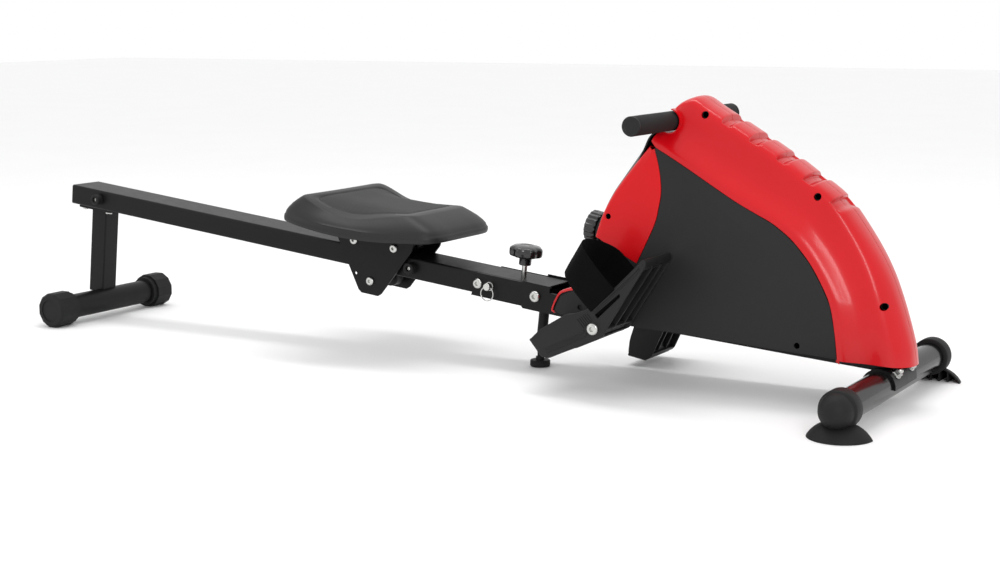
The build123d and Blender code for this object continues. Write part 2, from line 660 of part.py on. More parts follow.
def housing_shell():
    """The right half of the red shell, with a pocket for the black side panel."""
    shell = housing_half_outer(HOUSING_HALF) - housing_half_inner()
    shell -= prism(panel_outline(), -HOUSING_HALF - 5, -HOUSING_HALF + PANEL_DEPTH)
    shell -= frame_room()
    shell -= handle_room()
    shell -= bar_y(PEDAL_AXLE_X, PEDAL_AXLE_Z, 10.4, -90, 0)
    shell -= bar_y(FRONT_TUBE_X, FRONT_TUBE_Z, STABILISER_RADIUS + 5, -90, 90)
    for x, z in screw_places():
        shell -= bar_y(x, z, 2.6, -90, -60)
    along = radians(DIAL_TILT)
    shaft = Pos(DIAL_FACE_X + 60 * cos(along), 0, DIAL_FACE_Z - 60 * sin(along)) * Rot(0, 90 + DIAL_TILT, 0)
    shell -= shaft * Cylinder(6.0, 60)
    for x, z, turn in ridge_notches():
        notch = Pos(x, 0, z) * Rot(0, turn, 0) * block(-9, 7, -34, 34, -5, 12)
        shell -= notch
    shell -= block(1100, 1900, -SEAM_GAP / 2, 60, 0, 600)
    return largest(shell)


def largest(shape):
    """The biggest solid of a shape, which leaves out slivers cut loose."""
    return shape.solids().sort_by(SortBy.VOLUME)[-1]


def ridge_notches():
    """The five scallops along the ridge: x, z and the ridge's fall in degrees."""
    return [(1493, 468, 30), (1543, 439, 30), (1592, 410, 31), (1640, 382, 34), (1690, 341, 43)]


def side_panel():
    outline = inset(panel_outline(), PANEL_GAP)
    panel = prism(outline, -HOUSING_HALF, -HOUSING_HALF + PANEL_DEPTH)
    panel -= bar_y(PEDAL_AXLE_X, PEDAL_AXLE_Z, 10.4, -90, 0)
    for x, z in screw_places():
        panel -= bar_y(x, z, 4.5, -90, -60)
    return panel


def housing_screws():
    """Countersunk screws in the black panels and the rear leaf, both sides."""
    screws = []
    for x, z in screw_places():
        head = bar_y(x, z, 4.2, -HOUSING_HALF + 1.0, -HOUSING_HALF + PANEL_DEPTH)
        shank = bar_y(x, z, 2.4, -HOUSING_HALF + PANEL_DEPTH, -62)
        if x == 1303:
            head = bar_y(x, z, 2.4, -HOUSING_HALF + 0.5, -HOUSING_HALF + PANEL_DEPTH)
        screws += both_sides(head + shank)
    return screws


def rear_cover():
    """The black strip up the housing's rear edge, under the handle's groove."""
    near = [(1382, 412), (1344, 372), (1314, 333)]
    far = [(1309, 337), (1339, 376), (1374, 414)]
    strip = prism(near + far, -HOUSING_HALF + 3, HOUSING_HALF - 3)
    strip -= handle_room()
    return strip - housing_half_outer(HOUSING_HALF) - mirrored(housing_half_outer(HOUSING_HALF))


def dial_axis(distance):
    """A place on the dial's axis, by distance from its outer face towards the housing."""
    along = radians(DIAL_TILT)
    return Pos(DIAL_FACE_X + distance * cos(along), 0, DIAL_FACE_Z - distance * sin(along)) * Rot(0, 90 + DIAL_TILT, 0)


def dial_boss():
    boss = dial_axis(DIAL_DEPTH + 0.5 + 17) * Cylinder(23, 34)
    boss -= dial_axis(DIAL_DEPTH + 17) * Cylinder(4.0 + RUNNING_GAP, 60)
    whole = boss - prism(housing_outline(0, 0), -60, 60)
    return largest(whole)


def tension_dial():
    """The fluted tension knob with its shaft."""
    knob = Cylinder(DIAL_RADIUS, DIAL_DEPTH)
    knob = chamfer(knob.edges().filter_by(GeomType.CIRCLE), 2)
    flutes = 16
    for index in range(flutes):
        knob -= Rot(0, 0, 360 / flutes * index) * Pos(DIAL_RADIUS + 1.6, 0, 2) * Cylinder(3.4, DIAL_DEPTH)
    knob -= Pos(0, 0, -DIAL_DEPTH / 2) * Cylinder(18, 3)
    shaft = Pos(0, 0, DIAL_DEPTH / 2 + 12) * Cylinder(4.0, 24)
    return dial_axis(DIAL_DEPTH / 2) * (knob + shaft)


# ---- drive inside the housing ----
def drive_plate():
    """The upright steel plate that carries the flywheel and spool axles, on the right side."""
    foot_rear = beam_point(1380, BEAM_HEIGHT)
    foot_front = beam_point(1660, BEAM_HEIGHT)
    lower_front = (1660, foot_front[1] - 22)
    lower_rear = (1380, foot_rear[1] - 22)
    outline = [lower_rear, lower_front, (1660, 150), (1620, 262), (1565, 268), (1452, 326), (1398, 320)]
    plate = prism(outline, -FORK_INNER - 4, -FORK_INNER)
    for x, z in ((FLYWHEEL_X, FLYWHEEL_Z), (SPOOL_X, SPOOL_Z)):
        plate -= bar_y(x, z, 6.0, -60, 0)
    return plate


def drive_axles():
    """The fixed axles of the flywheel and the drum, with nuts, and the brake bracket's pivot pin."""
    axles = []
    outer = FORK_INNER + 4
    for x, z in ((FLYWHEEL_X, FLYWHEEL_Z), (SPOOL_X, SPOOL_Z)):
        axle = bar_y(x, z, 6.0, -outer, outer)
        nut = facing(extrude(RegularPolygon(10, 6), amount=7), x, -outer, z, -1)
        axles.append(axle + nut + mirrored(nut))
    axles.append(bar_y(MAGNET_PIVOT_X, MAGNET_PIVOT_Z, MAGNET_PIN_RADIUS, -FORK_INNER, FORK_INNER))
    return axles


def flywheel():
    """The steel flywheel with its small belt pulley."""
    wheel = bar_y(FLYWHEEL_X, FLYWHEEL_Z, FLYWHEEL_RADIUS, -12, 12)
    wheel = chamfer(wheel.edges().filter_by(GeomType.CIRCLE), 2)
    for low, high in ((-13, -6), (6, 13)):
        ring = bar_y(FLYWHEEL_X, FLYWHEEL_Z, 84, low, high)
        wheel -= ring - bar_y(FLYWHEEL_X, FLYWHEEL_Z, 26, low, high)
    wheel += bar_y(FLYWHEEL_X, FLYWHEEL_Z, SMALL_PULLEY_RADIUS, 12, BELT_Y + 7)
    return wheel - bar_y(FLYWHEEL_X, FLYWHEEL_Z, 6.0 + RUNNING_GAP, -60, 60)


def spool_pulley():
    """The big belt pulley."""
    pulley = bar_y(SPOOL_X, SPOOL_Z, BIG_PULLEY_RADIUS, BELT_Y - 7, BELT_Y + 7)
    for index in range(6):
        angle = 2 * pi * index / 6
        pulley -= bar_y(SPOOL_X + 47 * cos(angle), SPOOL_Z + 47 * sin(angle), 15, 0, 50)
    return pulley - bar_y(SPOOL_X, SPOOL_Z, 6.0 + RUNNING_GAP, -60, 60)


def strap_drum():
    """The flanged drum beside the big pulley."""
    drum = bar_y(SPOOL_X, SPOOL_Z, 24, -20, 22)
    for low, high in ((-20, -18), (20, 22)):
        drum += bar_y(SPOOL_X, SPOOL_Z, 50, low, high)
    return drum - bar_y(SPOOL_X, SPOOL_Z, 6.0 + RUNNING_GAP, -60, 60)


def strap_roll():
    """The pull strap's turns on the drum."""
    return bar_y(SPOOL_X, SPOOL_Z, 44, -17, 19) - bar_y(SPOOL_X, SPOOL_Z, 24, -60, 60)


def spring_case():
    """The flat case of the spool's return spring."""
    case = bar_y(SPOOL_X, SPOOL_Z, 46, -40, -22)
    case = fillet(case.edges().filter_by(GeomType.CIRCLE), 3)
    return case - bar_y(SPOOL_X, SPOOL_Z, 6.0, -60, 60)


def belt_loop(extra):
    """The belt's outline round both pulleys, at a distance outside them."""
    reach_x = FLYWHEEL_X - SPOOL_X
    reach_z = FLYWHEEL_Z - SPOOL_Z
    apart = hypot(reach_x, reach_z)
    lean = atan2(reach_z, reach_x)
    open_angle = atan2(BIG_PULLEY_RADIUS - SMALL_PULLEY_RADIUS, apart)
    half = pi / 2 - open_angle
    big = BIG_PULLEY_RADIUS + extra
    small = SMALL_PULLEY_RADIUS + extra
    corners = []
    for centre_x, centre_z, radius, angle in (
        (SPOOL_X, SPOOL_Z, big, lean + half),
        (SPOOL_X, SPOOL_Z, big, lean + pi),
        (SPOOL_X, SPOOL_Z, big, lean - half),
        (FLYWHEEL_X, FLYWHEEL_Z, small, lean - half),
        (FLYWHEEL_X, FLYWHEEL_Z, small, lean),
        (FLYWHEEL_X, FLYWHEEL_Z, small, lean + half),
    ):
        corners.append((centre_x + radius * cos(angle), BELT_Y, centre_z + radius * sin(angle)))
    edges = ThreePointArc(*corners[0:3]) + Line(corners[2], corners[3])
    edges += ThreePointArc(*corners[3:6]) + Line(corners[5], corners[0])
    return make_face(edges)


def drive_belt():
    outside = extrude(belt_loop(TOUCH_GAP + BELT_THICKNESS), amount=5, dir=(0, 1, 0), both=True)
    inside = extrude(belt_loop(TOUCH_GAP), amount=8, dir=(0, 1, 0), both=True)
    return outside - inside


def magnet_arm():
    """The pivoted brake bracket that straddles the flywheel's rear edge, with its magnets."""
    outer = FLYWHEEL_RADIUS + 10
    inner = FLYWHEEL_RADIUS + 4
    back = bar_y(FLYWHEEL_X, FLYWHEEL_Z, outer, -22, 22) - bar_y(FLYWHEEL_X, FLYWHEEL_Z, inner, -30, 30)
    cheeks = bar_y(FLYWHEEL_X, FLYWHEEL_Z, outer, -22, 22) - bar_y(FLYWHEEL_X, FLYWHEEL_Z, 82, -30, 30)
    cheeks -= block(1300, 1800, -18, 18, 0, 500)
    wedge = [(FLYWHEEL_X, FLYWHEEL_Z), (1440, 268), (1440, 190)]
    arm = (back + cheeks) & prism(wedge, -30, 30)
    tail = prism([(1470, 168), (1486, 168), (1496, 206), (1482, 214), (1474, 206)], -22, 22)
    tail -= block(1300, 1800, -18, 18, 0, 500)
    tail -= bar_y(FLYWHEEL_X, FLYWHEEL_Z, 82, -30, 30)
    whole = arm + tail
    return whole - bar_y(MAGNET_PIVOT_X, MAGNET_PIVOT_Z, MAGNET_PIN_RADIUS + RUNNING_GAP, -60, 60)


# ---- pedals ----
# The pedal's own frame: u runs along the footbed to the toe, w stands square to it, from the axle.
PEDAL_SIDE = [(-112, 24), (-105, 14), (4, -19), (16, -16), (142, 18), (145, 29), (24, 26), (-12, 40)]
PEDAL_SIDE += [(-25, 49), (-82, 60), (-112, 60)]
FOOTBED = [(-112, 24), (-105, 14), (4, -19), (16, -16), (142, 18), (145, 29), (-112, 28)]


def on_pedal(shape, pitch):
    """Moves a shape from the pedal's own frame onto the axle, toe raised by the pitch."""
    return Pos(PEDAL_AXLE_X, 0, PEDAL_AXLE_Z) * Rot(0, -pitch, 0) * shape


def pedal(pitch):
    """The right pedal: a footbed between two side walls, a heel cup and a ribbed hollow below."""
    body = prism(FOOTBED, -PEDAL_OUTER, -PEDAL_INNER)
    for low, high in ((-PEDAL_OUTER, -PEDAL_OUTER + 5), (-PEDAL_INNER - 5, -PEDAL_INNER)):
        body += prism(PEDAL_SIDE, low, high)
    body += block(-112, -107, -PEDAL_OUTER, -PEDAL_INNER, 26, 60)
    toe_well = [(26, -9), (136, 21), (136, 5), (36, -25)]
    body -= prism(toe_well, -PEDAL_OUTER + 5, -PEDAL_INNER - 5)
    for across in (-165, -139, -113):
        body += prism([(18, -15), (140, 18), (140, 24), (24, 8)], across - 1.5, across + 1.5)
    heel_well = [(-100, 19), (-6, -12), (-6, -40), (-100, 0)]
    body -= prism(heel_well, -PEDAL_OUTER + 5, -PEDAL_INNER - 5)
    for across in (-PEDAL_OUTER, -PEDAL_INNER):
        body -= block(20, 78, across - 6, across + 6, 12, 18)
    body -= bar_y(0, 0, PEDAL_STUD_RADIUS + RUNNING_GAP, -200, -50)
    body = largest(body)
    return on_pedal(body, pitch)


def foot_strap(pitch):
    """The right pedal's strap as a plain closed band over the foot, inside the side walls."""
    low = -PEDAL_OUTER + 6
    high = -PEDAL_INNER - 6
    outside = [(low, 30), (low + 4, 70), (low + 22, 112), (low + 45, 122), (high - 12, 106), (high, 62), (high, 30)]
    inside = [(low + 3, 30), (low + 7, 69), (low + 24, 109), (low + 45, 118), (high - 14, 103), (high - 3, 61)]
    inside += [(high - 3, 30)]
    band = Polyline(*[(18, y, w) for y, w in outside + inside[::-1]], close=True)
    strap = extrude(make_face(band), amount=60, dir=(1, 0, 0))
    return on_pedal(strap, pitch)


# ---- handle ----
def handle_tube():
    tube = bar_y(HANDLE_X, HANDLE_Z, 11.0, -HANDLE_HALF + 6, HANDLE_HALF - 6)
    return tube - bar_y(HANDLE_X, HANDLE_Z, 9.0, -250, 250)


def handle_sleeve():
    """The plain middle sleeve where the pull strap is fixed."""
    sleeve = bar_y(HANDLE_X, HANDLE_Z, 15.5, -30, 30)
    return chamfer(sleeve.edges().filter_by(GeomType.CIRCLE), 1.5) - bar_y(HANDLE_X, HANDLE_Z, 11.0, -60, 60)


def handle_grips():
    grips = bar_y(HANDLE_X, HANDLE_Z, HANDLE_RADIUS, -HANDLE_HALF + 5, -31)
    grips = fillet(grips.edges().filter_by(GeomType.CIRCLE), 1.5)
    return both_sides(grips - bar_y(HANDLE_X, HANDLE_Z, 11.0, -250, 250))


def handle_caps():
    cap = bar_y(HANDLE_X, HANDLE_Z, HANDLE_RADIUS, -HANDLE_HALF, -HANDLE_HALF + 5)
    cap = fillet(cap.edges().filter_by(GeomType.CIRCLE).sort_by(Axis.Y)[0], 2.5)
    cap += bar_y(HANDLE_X, HANDLE_Z, 9.0, -HANDLE_HALF + 5, -HANDLE_HALF + 20)
    return both_sides(cap)


# ---- the whole machine ----
os.makedirs("parts", exist_ok=True)
right_shell = housing_shell()
right_panel = side_panel()
NODES = {
    "rail": rail(),
    "rail_bushing": rail_bushing(),
    "rail_end_plug": rail_end_plug(),
    "post_plate": post_plate(),
    "rear_post": rear_post(),
    "rear_tube": rear_tube(),
    "rear_cap_right": rear_cap(),
    "rear_cap_left": mirrored(rear_cap()),
    "rail_stops": rail_stops(),
    "rail_screws": rail_screws(),
    "carriage_plate_right": carriage_plate(),
    "carriage_plate_left": mirrored(carriage_plate()),
    "carriage_top": carriage_top(),
    "seat_base": seat_base(),
    "seat_pad": seat_pad(),
    "seat_screws": seat_screws(),
    "roller_axles": roller_axles(),
    "roller_rear": roller(TOP_ROLLERS_ALONG[0], TOP_ROLLER_HEIGHT, TOP_ROLLER_RADIUS),
    "roller_front": roller(TOP_ROLLERS_ALONG[1], TOP_ROLLER_HEIGHT, TOP_ROLLER_RADIUS),
    "roller_low": roller(LOW_ROLLER_ALONG, LOW_ROLLER_HEIGHT, LOW_ROLLER_RADIUS),
    "fork_channel": fork_channel(),
    "fork_bracket": fork_bracket(),
    "pivot_bolt": pivot_bolt(),
    "fork_screws": fork_screws(),
    "clamp_rod": clamp_rod(),
    "clamp_knob": clamp_knob(),
    "lock_pin": lock_pin(),
    "pin_ring": pin_ring(),
    "middle_leg": middle_leg(),
    "level_foot": level_foot(),
    "base_beam": base_beam(),
    "front_saddle": front_saddle(),
    "saddle_bolts": saddle_bolts(),
    "front_tube": front_tube(),
    "front_cap_right": front_cap(),
    "front_cap_left": mirrored(front_cap()),
    "pedal_axle": pedal_axle(),
    "housing_shell_right": right_shell,
    "housing_shell_left": mirrored(right_shell),
    "side_panel_right": right_panel,
    "side_panel_left": mirrored(right_panel),
    "housing_screws": housing_screws(),
    "rear_cover": rear_cover(),
    "dial_boss": dial_boss(),
    "tension_dial": tension_dial(),
    "drive_plates": both_sides(drive_plate()),
    "drive_axles": drive_axles(),
    "flywheel": flywheel(),
    "spool_pulley": spool_pulley(),
    "strap_drum": strap_drum(),
    "strap_roll": strap_roll(),
    "spring_case": spring_case(),
    "drive_belt": drive_belt(),
    "magnet_arm": magnet_arm(),
    "pedal_right": pedal(PEDAL_PITCH_RIGHT),
    "pedal_left": mirrored(pedal(PEDAL_PITCH_LEFT)),
    "foot_strap_right": foot_strap(PEDAL_PITCH_RIGHT),
    "foot_strap_left": mirrored(foot_strap(PEDAL_PITCH_LEFT)),
    "handle_tube": handle_tube(),
    "handle_grips": handle_grips() + [handle_sleeve()] + handle_caps(),
}
for node_name, node_shape in NODES.items():
    save(node_name, node_shape)
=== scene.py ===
"""Rowing machine: finishes, moulded shells, soft parts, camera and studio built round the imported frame."""

import logging
from dataclasses import dataclass, field
from enum import Enum
from math import cos, hypot, pi, radians, sin

import bmesh
import bpy
from mathutils import Matrix, Vector


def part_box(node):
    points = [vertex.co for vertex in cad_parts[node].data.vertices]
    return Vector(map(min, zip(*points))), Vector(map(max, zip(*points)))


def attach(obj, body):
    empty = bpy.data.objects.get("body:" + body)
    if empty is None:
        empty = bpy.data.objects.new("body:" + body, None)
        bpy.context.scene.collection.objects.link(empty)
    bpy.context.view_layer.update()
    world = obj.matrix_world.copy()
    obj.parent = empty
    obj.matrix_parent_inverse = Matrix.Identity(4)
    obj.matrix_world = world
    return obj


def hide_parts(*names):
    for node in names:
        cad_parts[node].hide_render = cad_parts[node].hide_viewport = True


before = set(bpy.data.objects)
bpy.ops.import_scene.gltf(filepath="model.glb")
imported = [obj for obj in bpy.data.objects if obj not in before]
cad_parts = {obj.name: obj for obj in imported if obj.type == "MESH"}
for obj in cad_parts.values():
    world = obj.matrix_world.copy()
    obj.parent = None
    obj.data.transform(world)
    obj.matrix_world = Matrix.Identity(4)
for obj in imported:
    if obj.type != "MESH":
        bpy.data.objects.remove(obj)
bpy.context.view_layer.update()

LOG = logging.getLogger("rowing_machine")
MILLIMETRE = 0.001
FRONT_TUBE_STATION = 1775.0
RAIL_SLOPE = radians(6.3)
RAIL_TOP_REAR = 283.0
HALF_WIDTH = 77.0
BESIDE_HOUSING = 95.0
PEDAL_AXLE = (1328.0, 120.0)
HANDLE_REST = (1401.5, 460.0)
GROOVE_RADIUS = 19.5
CROWN_WELLS = ((1461, 471.3, 40), (1661.5, 344.5, 40), (1777.3, 173.3, 39))
PANEL_WELLS = ((1643.4, 102.3, 73), (1242, 131, 73))
LEAF_WELL = (1297, 295, 73)

Pair = tuple[float, float]


# ---------------------------------------------------------------- places
def machine_middle() -> float:
    """Returns the station, in millimetres from the rail's rear end, where the frame's x is 0."""
    low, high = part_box("front_tube")
    return FRONT_TUBE_STATION - (low[0] + high[0]) / 2 / MILLIMETRE


MIDDLE = machine_middle()


def at(x: float, y: float, z: float) -> Vector:
    """Gives a point in the frame, in metres.

    Args:
        x: Station along the floor from the rail's rear end, in millimetres.
        y: Distance to the rower's left, in millimetres.
        z: Height above the floor, in millimetres.

    Returns:
        The point in metres.
    """
    return Vector(((x - MIDDLE) * MILLIMETRE, y * MILLIMETRE, z * MILLIMETRE))


def on_rail(along: float, across: float, above: float) -> Vector:
    """Gives a point from distances along the rail, across it and above its top, in millimetres."""
    x = along * cos(RAIL_SLOPE) + above * sin(RAIL_SLOPE)
    z = RAIL_TOP_REAR - along * sin(RAIL_SLOPE) + above * cos(RAIL_SLOPE)
    return at(x, across, z)


def catmull(points: list[tuple[float, ...]], steps: int, closed: bool = False) -> list[tuple[float, ...]]:
    """Runs a smooth curve through points of any dimension.

    Args:
        points: The points that the curve passes.
        steps: Samples for each stretch between two points.
        closed: Whether the curve joins up.

    Returns:
        The samples, with the last point included on an open curve.
    """
    count = len(points)
    spans = count if closed else count - 1
    result = []
    for index in range(spans):
        if closed:
            p0, p1, p2, p3 = (points[(index + k) % count] for k in (-1, 0, 1, 2))
        else:
            p0, p1, p2, p3 = (points[min(max(index + k, 0), count - 1)] for k in (-1, 0, 1, 2))
        for step in range(steps):
            t = step / steps
            result.append(tuple(
                0.5 * (2 * b + (c - a) * t + (2 * a - 5 * b + 4 * c - d) * t * t + (3 * b - a - 3 * c + d) * t ** 3)
                for a, b, c, d in zip(p0, p1, p2, p3)))
    if not closed:
        result.append(tuple(points[-1]))
    return result


def blend_points(a: tuple[float, ...], b: tuple[float, ...], share: float) -> tuple[float, ...]:
    """Mixes two points, with share 0 giving the first."""
    return tuple(p * (1 - share) + q * share for p, q in zip(a, b))


def beside(line: list[tuple[float, ...]], index: int, first: int = 0) -> Pair:
    """Gives the unit direction square to a line at one of its points.

    Args:
        line: The line's points.
        index: Which point.
        first: Which of a point's values is the first of the two that the direction is in.

    Returns:
        The direction to the right of the line's run.
    """
    ahead = line[min(index + 1, len(line) - 1)]
    behind = line[max(index - 1, 0)]
    second = first + 1
    run = hypot(ahead[first] - behind[first], ahead[second] - behind[second])
    return (ahead[second] - behind[second]) / run, -(ahead[first] - behind[first]) / run


def smooth_step(value: float) -> float:
    """Eases a value from 0 to 1."""
    value = min(max(value, 0.0), 1.0)
    return value * value * (3 - 2 * value)


def rounded(points: list[Pair], radius: float, steps: int = 6) -> list[Pair]:
    """Rounds the corners of a closed outline.

    Args:
        points: The outline's corners in order.
        radius: How far from each corner the rounding starts, at most.
        steps: Samples in each corner.

    Returns:
        The rounded outline.
    """
    result = []
    for index, corner in enumerate(points):
        before = points[index - 1]
        after = points[(index + 1) % len(points)]
        reach = min(radius, hypot(before[0] - corner[0], before[1] - corner[1]) * 0.45,
                    hypot(after[0] - corner[0], after[1] - corner[1]) * 0.45)
        start = blend_points(corner, before, reach / hypot(before[0] - corner[0], before[1] - corner[1]))
        end = blend_points(corner, after, reach / hypot(after[0] - corner[0], after[1] - corner[1]))
        for step in range(steps + 1):
            t = step / steps
            result.append(blend_points(blend_points(start, corner, t), blend_points(corner, end, t), t))
    return result


# ---------------------------------------------------------------- meshes
class Side(Enum):
    """The machine's two sides, as the sign of y."""

    RIGHT = -1
    LEFT = 1

    @staticmethod
    def label(side: int) -> str:
        """Gives a side's name."""
        return Side(side).name.lower()

    @staticmethod
    def signs() -> list[int]:
        """Gives both sides' signs, right first."""
        return [side.value for side in Side]


def new_piece(name: str, verts: list[Vector], faces: list[tuple[int, ...]], crease: float = 40.0) -> bpy.types.Object:
    """Makes a mesh object with outward faces, smooth but for its sharp edges.

    Args:
        name: The piece's name.
        verts: Its points, in metres.
        faces: Its faces, as indices of points.
        crease: The angle in degrees above which an edge stays sharp.

    Returns:
        The object, linked to the scene.
    """
    mesh = bpy.data.meshes.new(name)
    mesh.from_pydata([tuple(v) for v in verts], [], faces)
    work = bmesh.new()
    work.from_mesh(mesh)
    bmesh.ops.remove_doubles(work, verts=work.verts, dist=1e-6)
    bmesh.ops.recalc_face_normals(work, faces=work.faces)
    work.to_mesh(mesh)
    work.free()
    piece = bpy.data.objects.new(name, mesh)
    bpy.context.scene.collection.objects.link(piece)
    shade(piece, crease)
    return piece


def shade(piece: bpy.types.Object, crease: float) -> None:
    """Shades a piece smooth, with edges over the crease angle kept sharp."""
    piece.data.polygons.foreach_set("use_smooth", [True] * len(piece.data.polygons))
    piece.data.set_sharp_from_angle(angle=radians(crease))


def grid(name: str, rows: list[list[Vector]], closed: bool = False, caps: bool = False,
         crease: float = 40.0) -> bpy.types.Object:
    """Makes a sheet of quads from rows of points.

    Args:
        name: The piece's name.
        rows: Rows of equally many points.
        closed: Whether each row joins up on itself.
        caps: Whether the first and last rows are filled.
        crease: The angle in degrees above which an edge stays sharp.

    Returns:
        The object.
    """
    width = len(rows[0])
    verts = [point for row in rows for point in row]
    spans = width if closed else width - 1
    faces = []
    for r in range(len(rows) - 1):
        for c in range(spans):
            d = (c + 1) % width
            faces.append((r * width + c, r * width + d, (r + 1) * width + d, (r + 1) * width + c))
    if caps:
        faces.append(tuple(range(width)))
        faces.append(tuple((len(rows) - 1) * width + c for c in reversed(range(width))))
    return new_piece(name, verts, faces, crease)


def axis_frame(origin: Vector, axis: Vector, side: Vector = Vector((1, 0, 0))) -> Matrix:
    """Gives the placing of a part that is built along z, so that it points along an axis."""
    z = axis.normalized()
    x = (side - z * side.dot(z)).normalized()
    y = z.cross(x)
    return Matrix.Translation(origin) @ Matrix((x, y, z)).transposed().to_4x4()


def lathe(name: str, profile: list[Pair], place: Matrix, segments: int = 64, crease: float = 32.0) -> bpy.types.Object:
    """Turns a profile about the z axis of a placing.

    Args:
        name: The piece's name.
        profile: Radius and height of each point, in millimetres.
        place: Where the part's own frame sits, in metres.
        segments: Steps round the axis.
        crease: The angle in degrees above which an edge stays sharp.

    Returns:
        The object.
    """
    rows = []
    for radius, height in profile:
        ring = []
        for k in range(segments):
            a = 2 * pi * k / segments
            ring.append(place @ (Vector((radius * cos(a), radius * sin(a), height)) * MILLIMETRE))
        rows.append(ring)
    return grid(name, rows, closed=True, caps=True, crease=crease)


def slab(name: str, low: list[Vector], high: list[Vector], bevel: float, crease: float = 40.0) -> bpy.types.Object:
    """Makes a plate between two matching outlines, with its edges rounded.

    Args:
        name: The piece's name.
        low: One face's outline.
        high: The other face's outline.
        bevel: Radius of the rounded edges, in millimetres.
        crease: The angle in degrees above which an edge stays sharp.

    Returns:
        The object.
    """
    piece = grid(name, [low, high], closed=True, caps=True)
    if bevel > 0:
        modifier = piece.modifiers.new("edges", "BEVEL")
        modifier.width = bevel * MILLIMETRE
        modifier.segments = 3
        modifier.limit_method = "ANGLE"
        modifier.angle_limit = radians(50)
        bake_modifiers(piece)
        shade(piece, crease)
    return piece


def bake_modifiers(piece: bpy.types.Object) -> None:
    """Turns a piece's modifiers into plain mesh."""
    graph = bpy.context.evaluated_depsgraph_get()
    graph.update()
    mesh = bpy.data.meshes.new_from_object(piece.evaluated_get(graph))
    piece.modifiers.clear()
    old = piece.data
    piece.data = mesh
    mesh.name = piece.name
    bpy.data.meshes.remove(old)


def thicken(piece: bpy.types.Object, thickness: float, offset: float = -1.0, crease: float = 40.0) -> None:
    """Gives a sheet its wall, in millimetres, on the side that offset names."""
    modifier = piece.modifiers.new("wall", "SOLIDIFY")
    modifier.thickness = thickness * MILLIMETRE
    modifier.offset = offset
    modifier.use_even_offset = True
    bake_modifiers(piece)
    shade(piece, crease)


def cut(piece: bpy.types.Object, tools: list[bpy.types.Object], crease: float = 40.0) -> None:
    """Cuts tools out of a piece and removes them."""
    for tool in tools:
        modifier = piece.modifiers.new("cut", "BOOLEAN")
        modifier.operation = "DIFFERENCE"
        modifier.object = tool
        modifier.solver = "EXACT"
    bake_modifiers(piece)
    for tool in tools:
        bpy.data.objects.remove(tool)
    shade(piece, crease)


def merge(name: str, pieces: list[bpy.types.Object], crease: float = 40.0) -> bpy.types.Object:
    """Joins pieces into one object, keeping each one's own surface."""
    work = bmesh.new()
    for piece in pieces:
        work.from_mesh(piece.data)
        bpy.data.objects.remove(piece)
    mesh = bpy.data.meshes.new(name)
    work.to_mesh(mesh)
    work.free()
    whole = bpy.data.objects.new(name, mesh)
    bpy.context.scene.collection.objects.link(whole)
    shade(whole, crease)
    return whole


def rod(name: str, start: Vector, end: Vector, radius: float, segments: int = 32) -> bpy.types.Object:
    """Makes a plain round tool or bar between two points, with its radius in millimetres."""
    length = (end - start).length / MILLIMETRE
    place = axis_frame(start, end - start, Vector((0.3, 0.1, 0.95)))
    return lathe(name, [(radius, 0), (radius, length)], place, segments)


def block(name: str, low: Vector, high: Vector) -> bpy.types.Object:
    """Makes a box-shaped tool from two corners."""
    xs, ys, zs = zip(low, high)
    ring = [(0, 0), (1, 0), (1, 1), (0, 1)]
    rows = [[Vector((xs[i], ys[j], zs[k])) for i, j in ring] for k in (0, 1)]
    return grid(name, rows, closed=True, caps=True)


def side_bore(x: float, z: float, side: int, reach: float, radius: float, segments: int = 32) -> bpy.types.Object:
    """Makes a tool that bores in from one side to a distance from the middle plane."""
    return rod("bore", at(x, side * BESIDE_HOUSING, z), at(x, side * reach, z), radius, segments)


def cross_bore(place: Pair, radius: float, segments: int) -> bpy.types.Object:
    """Makes a tool that bores through the housing from side to side."""
    x, z = place
    return rod("bore", at(x, -BESIDE_HOUSING, z), at(x, BESIDE_HOUSING, z), radius, segments)


def mirrored(point: Vector, side: int) -> Vector:
    """Puts a point that is given for the right half on the wanted side, -1 being right."""
    return Vector((point.x, -side * point.y, point.z)) if side > 0 else point.copy()


# ---------------------------------------------------------------- shader maths
class Sock:
    """One output socket of a node, with arithmetic that adds Math nodes."""

    def __init__(self, owner: "Finish", socket: bpy.types.NodeSocket) -> None:
        self.owner = owner
        self.socket = socket

    def _math(self, operation: str, *values: "Sock | float") -> "Sock":
        """Adds one Math node."""
        return self.owner.node("ShaderNodeMath", {"operation": operation}, dict(enumerate(values)))

    def __add__(self, other: "Sock | float") -> "Sock":
        """Adds."""
        return self._math("ADD", self, other)

    def __radd__(self, other: float) -> "Sock":
        """Adds, from the right."""
        return self._math("ADD", other, self)

    def __sub__(self, other: "Sock | float") -> "Sock":
        """Subtracts."""
        return self._math("SUBTRACT", self, other)

    def __rsub__(self, other: float) -> "Sock":
        """Subtracts this from a number."""
        return self._math("SUBTRACT", other, self)

    def __mul__(self, other: "Sock | float") -> "Sock":
        """Multiplies."""
        return self._math("MULTIPLY", self, other)

    def __rmul__(self, other: float) -> "Sock":
        """Multiplies, from the right."""
        return self._math("MULTIPLY", other, self)

    def wave(self) -> "Sock":
        """Gives the sine of this."""
        return self._math("SINE", self)

    def size(self) -> "Sock":
        """Gives this without its sign."""
        return self._math("ABSOLUTE", self)


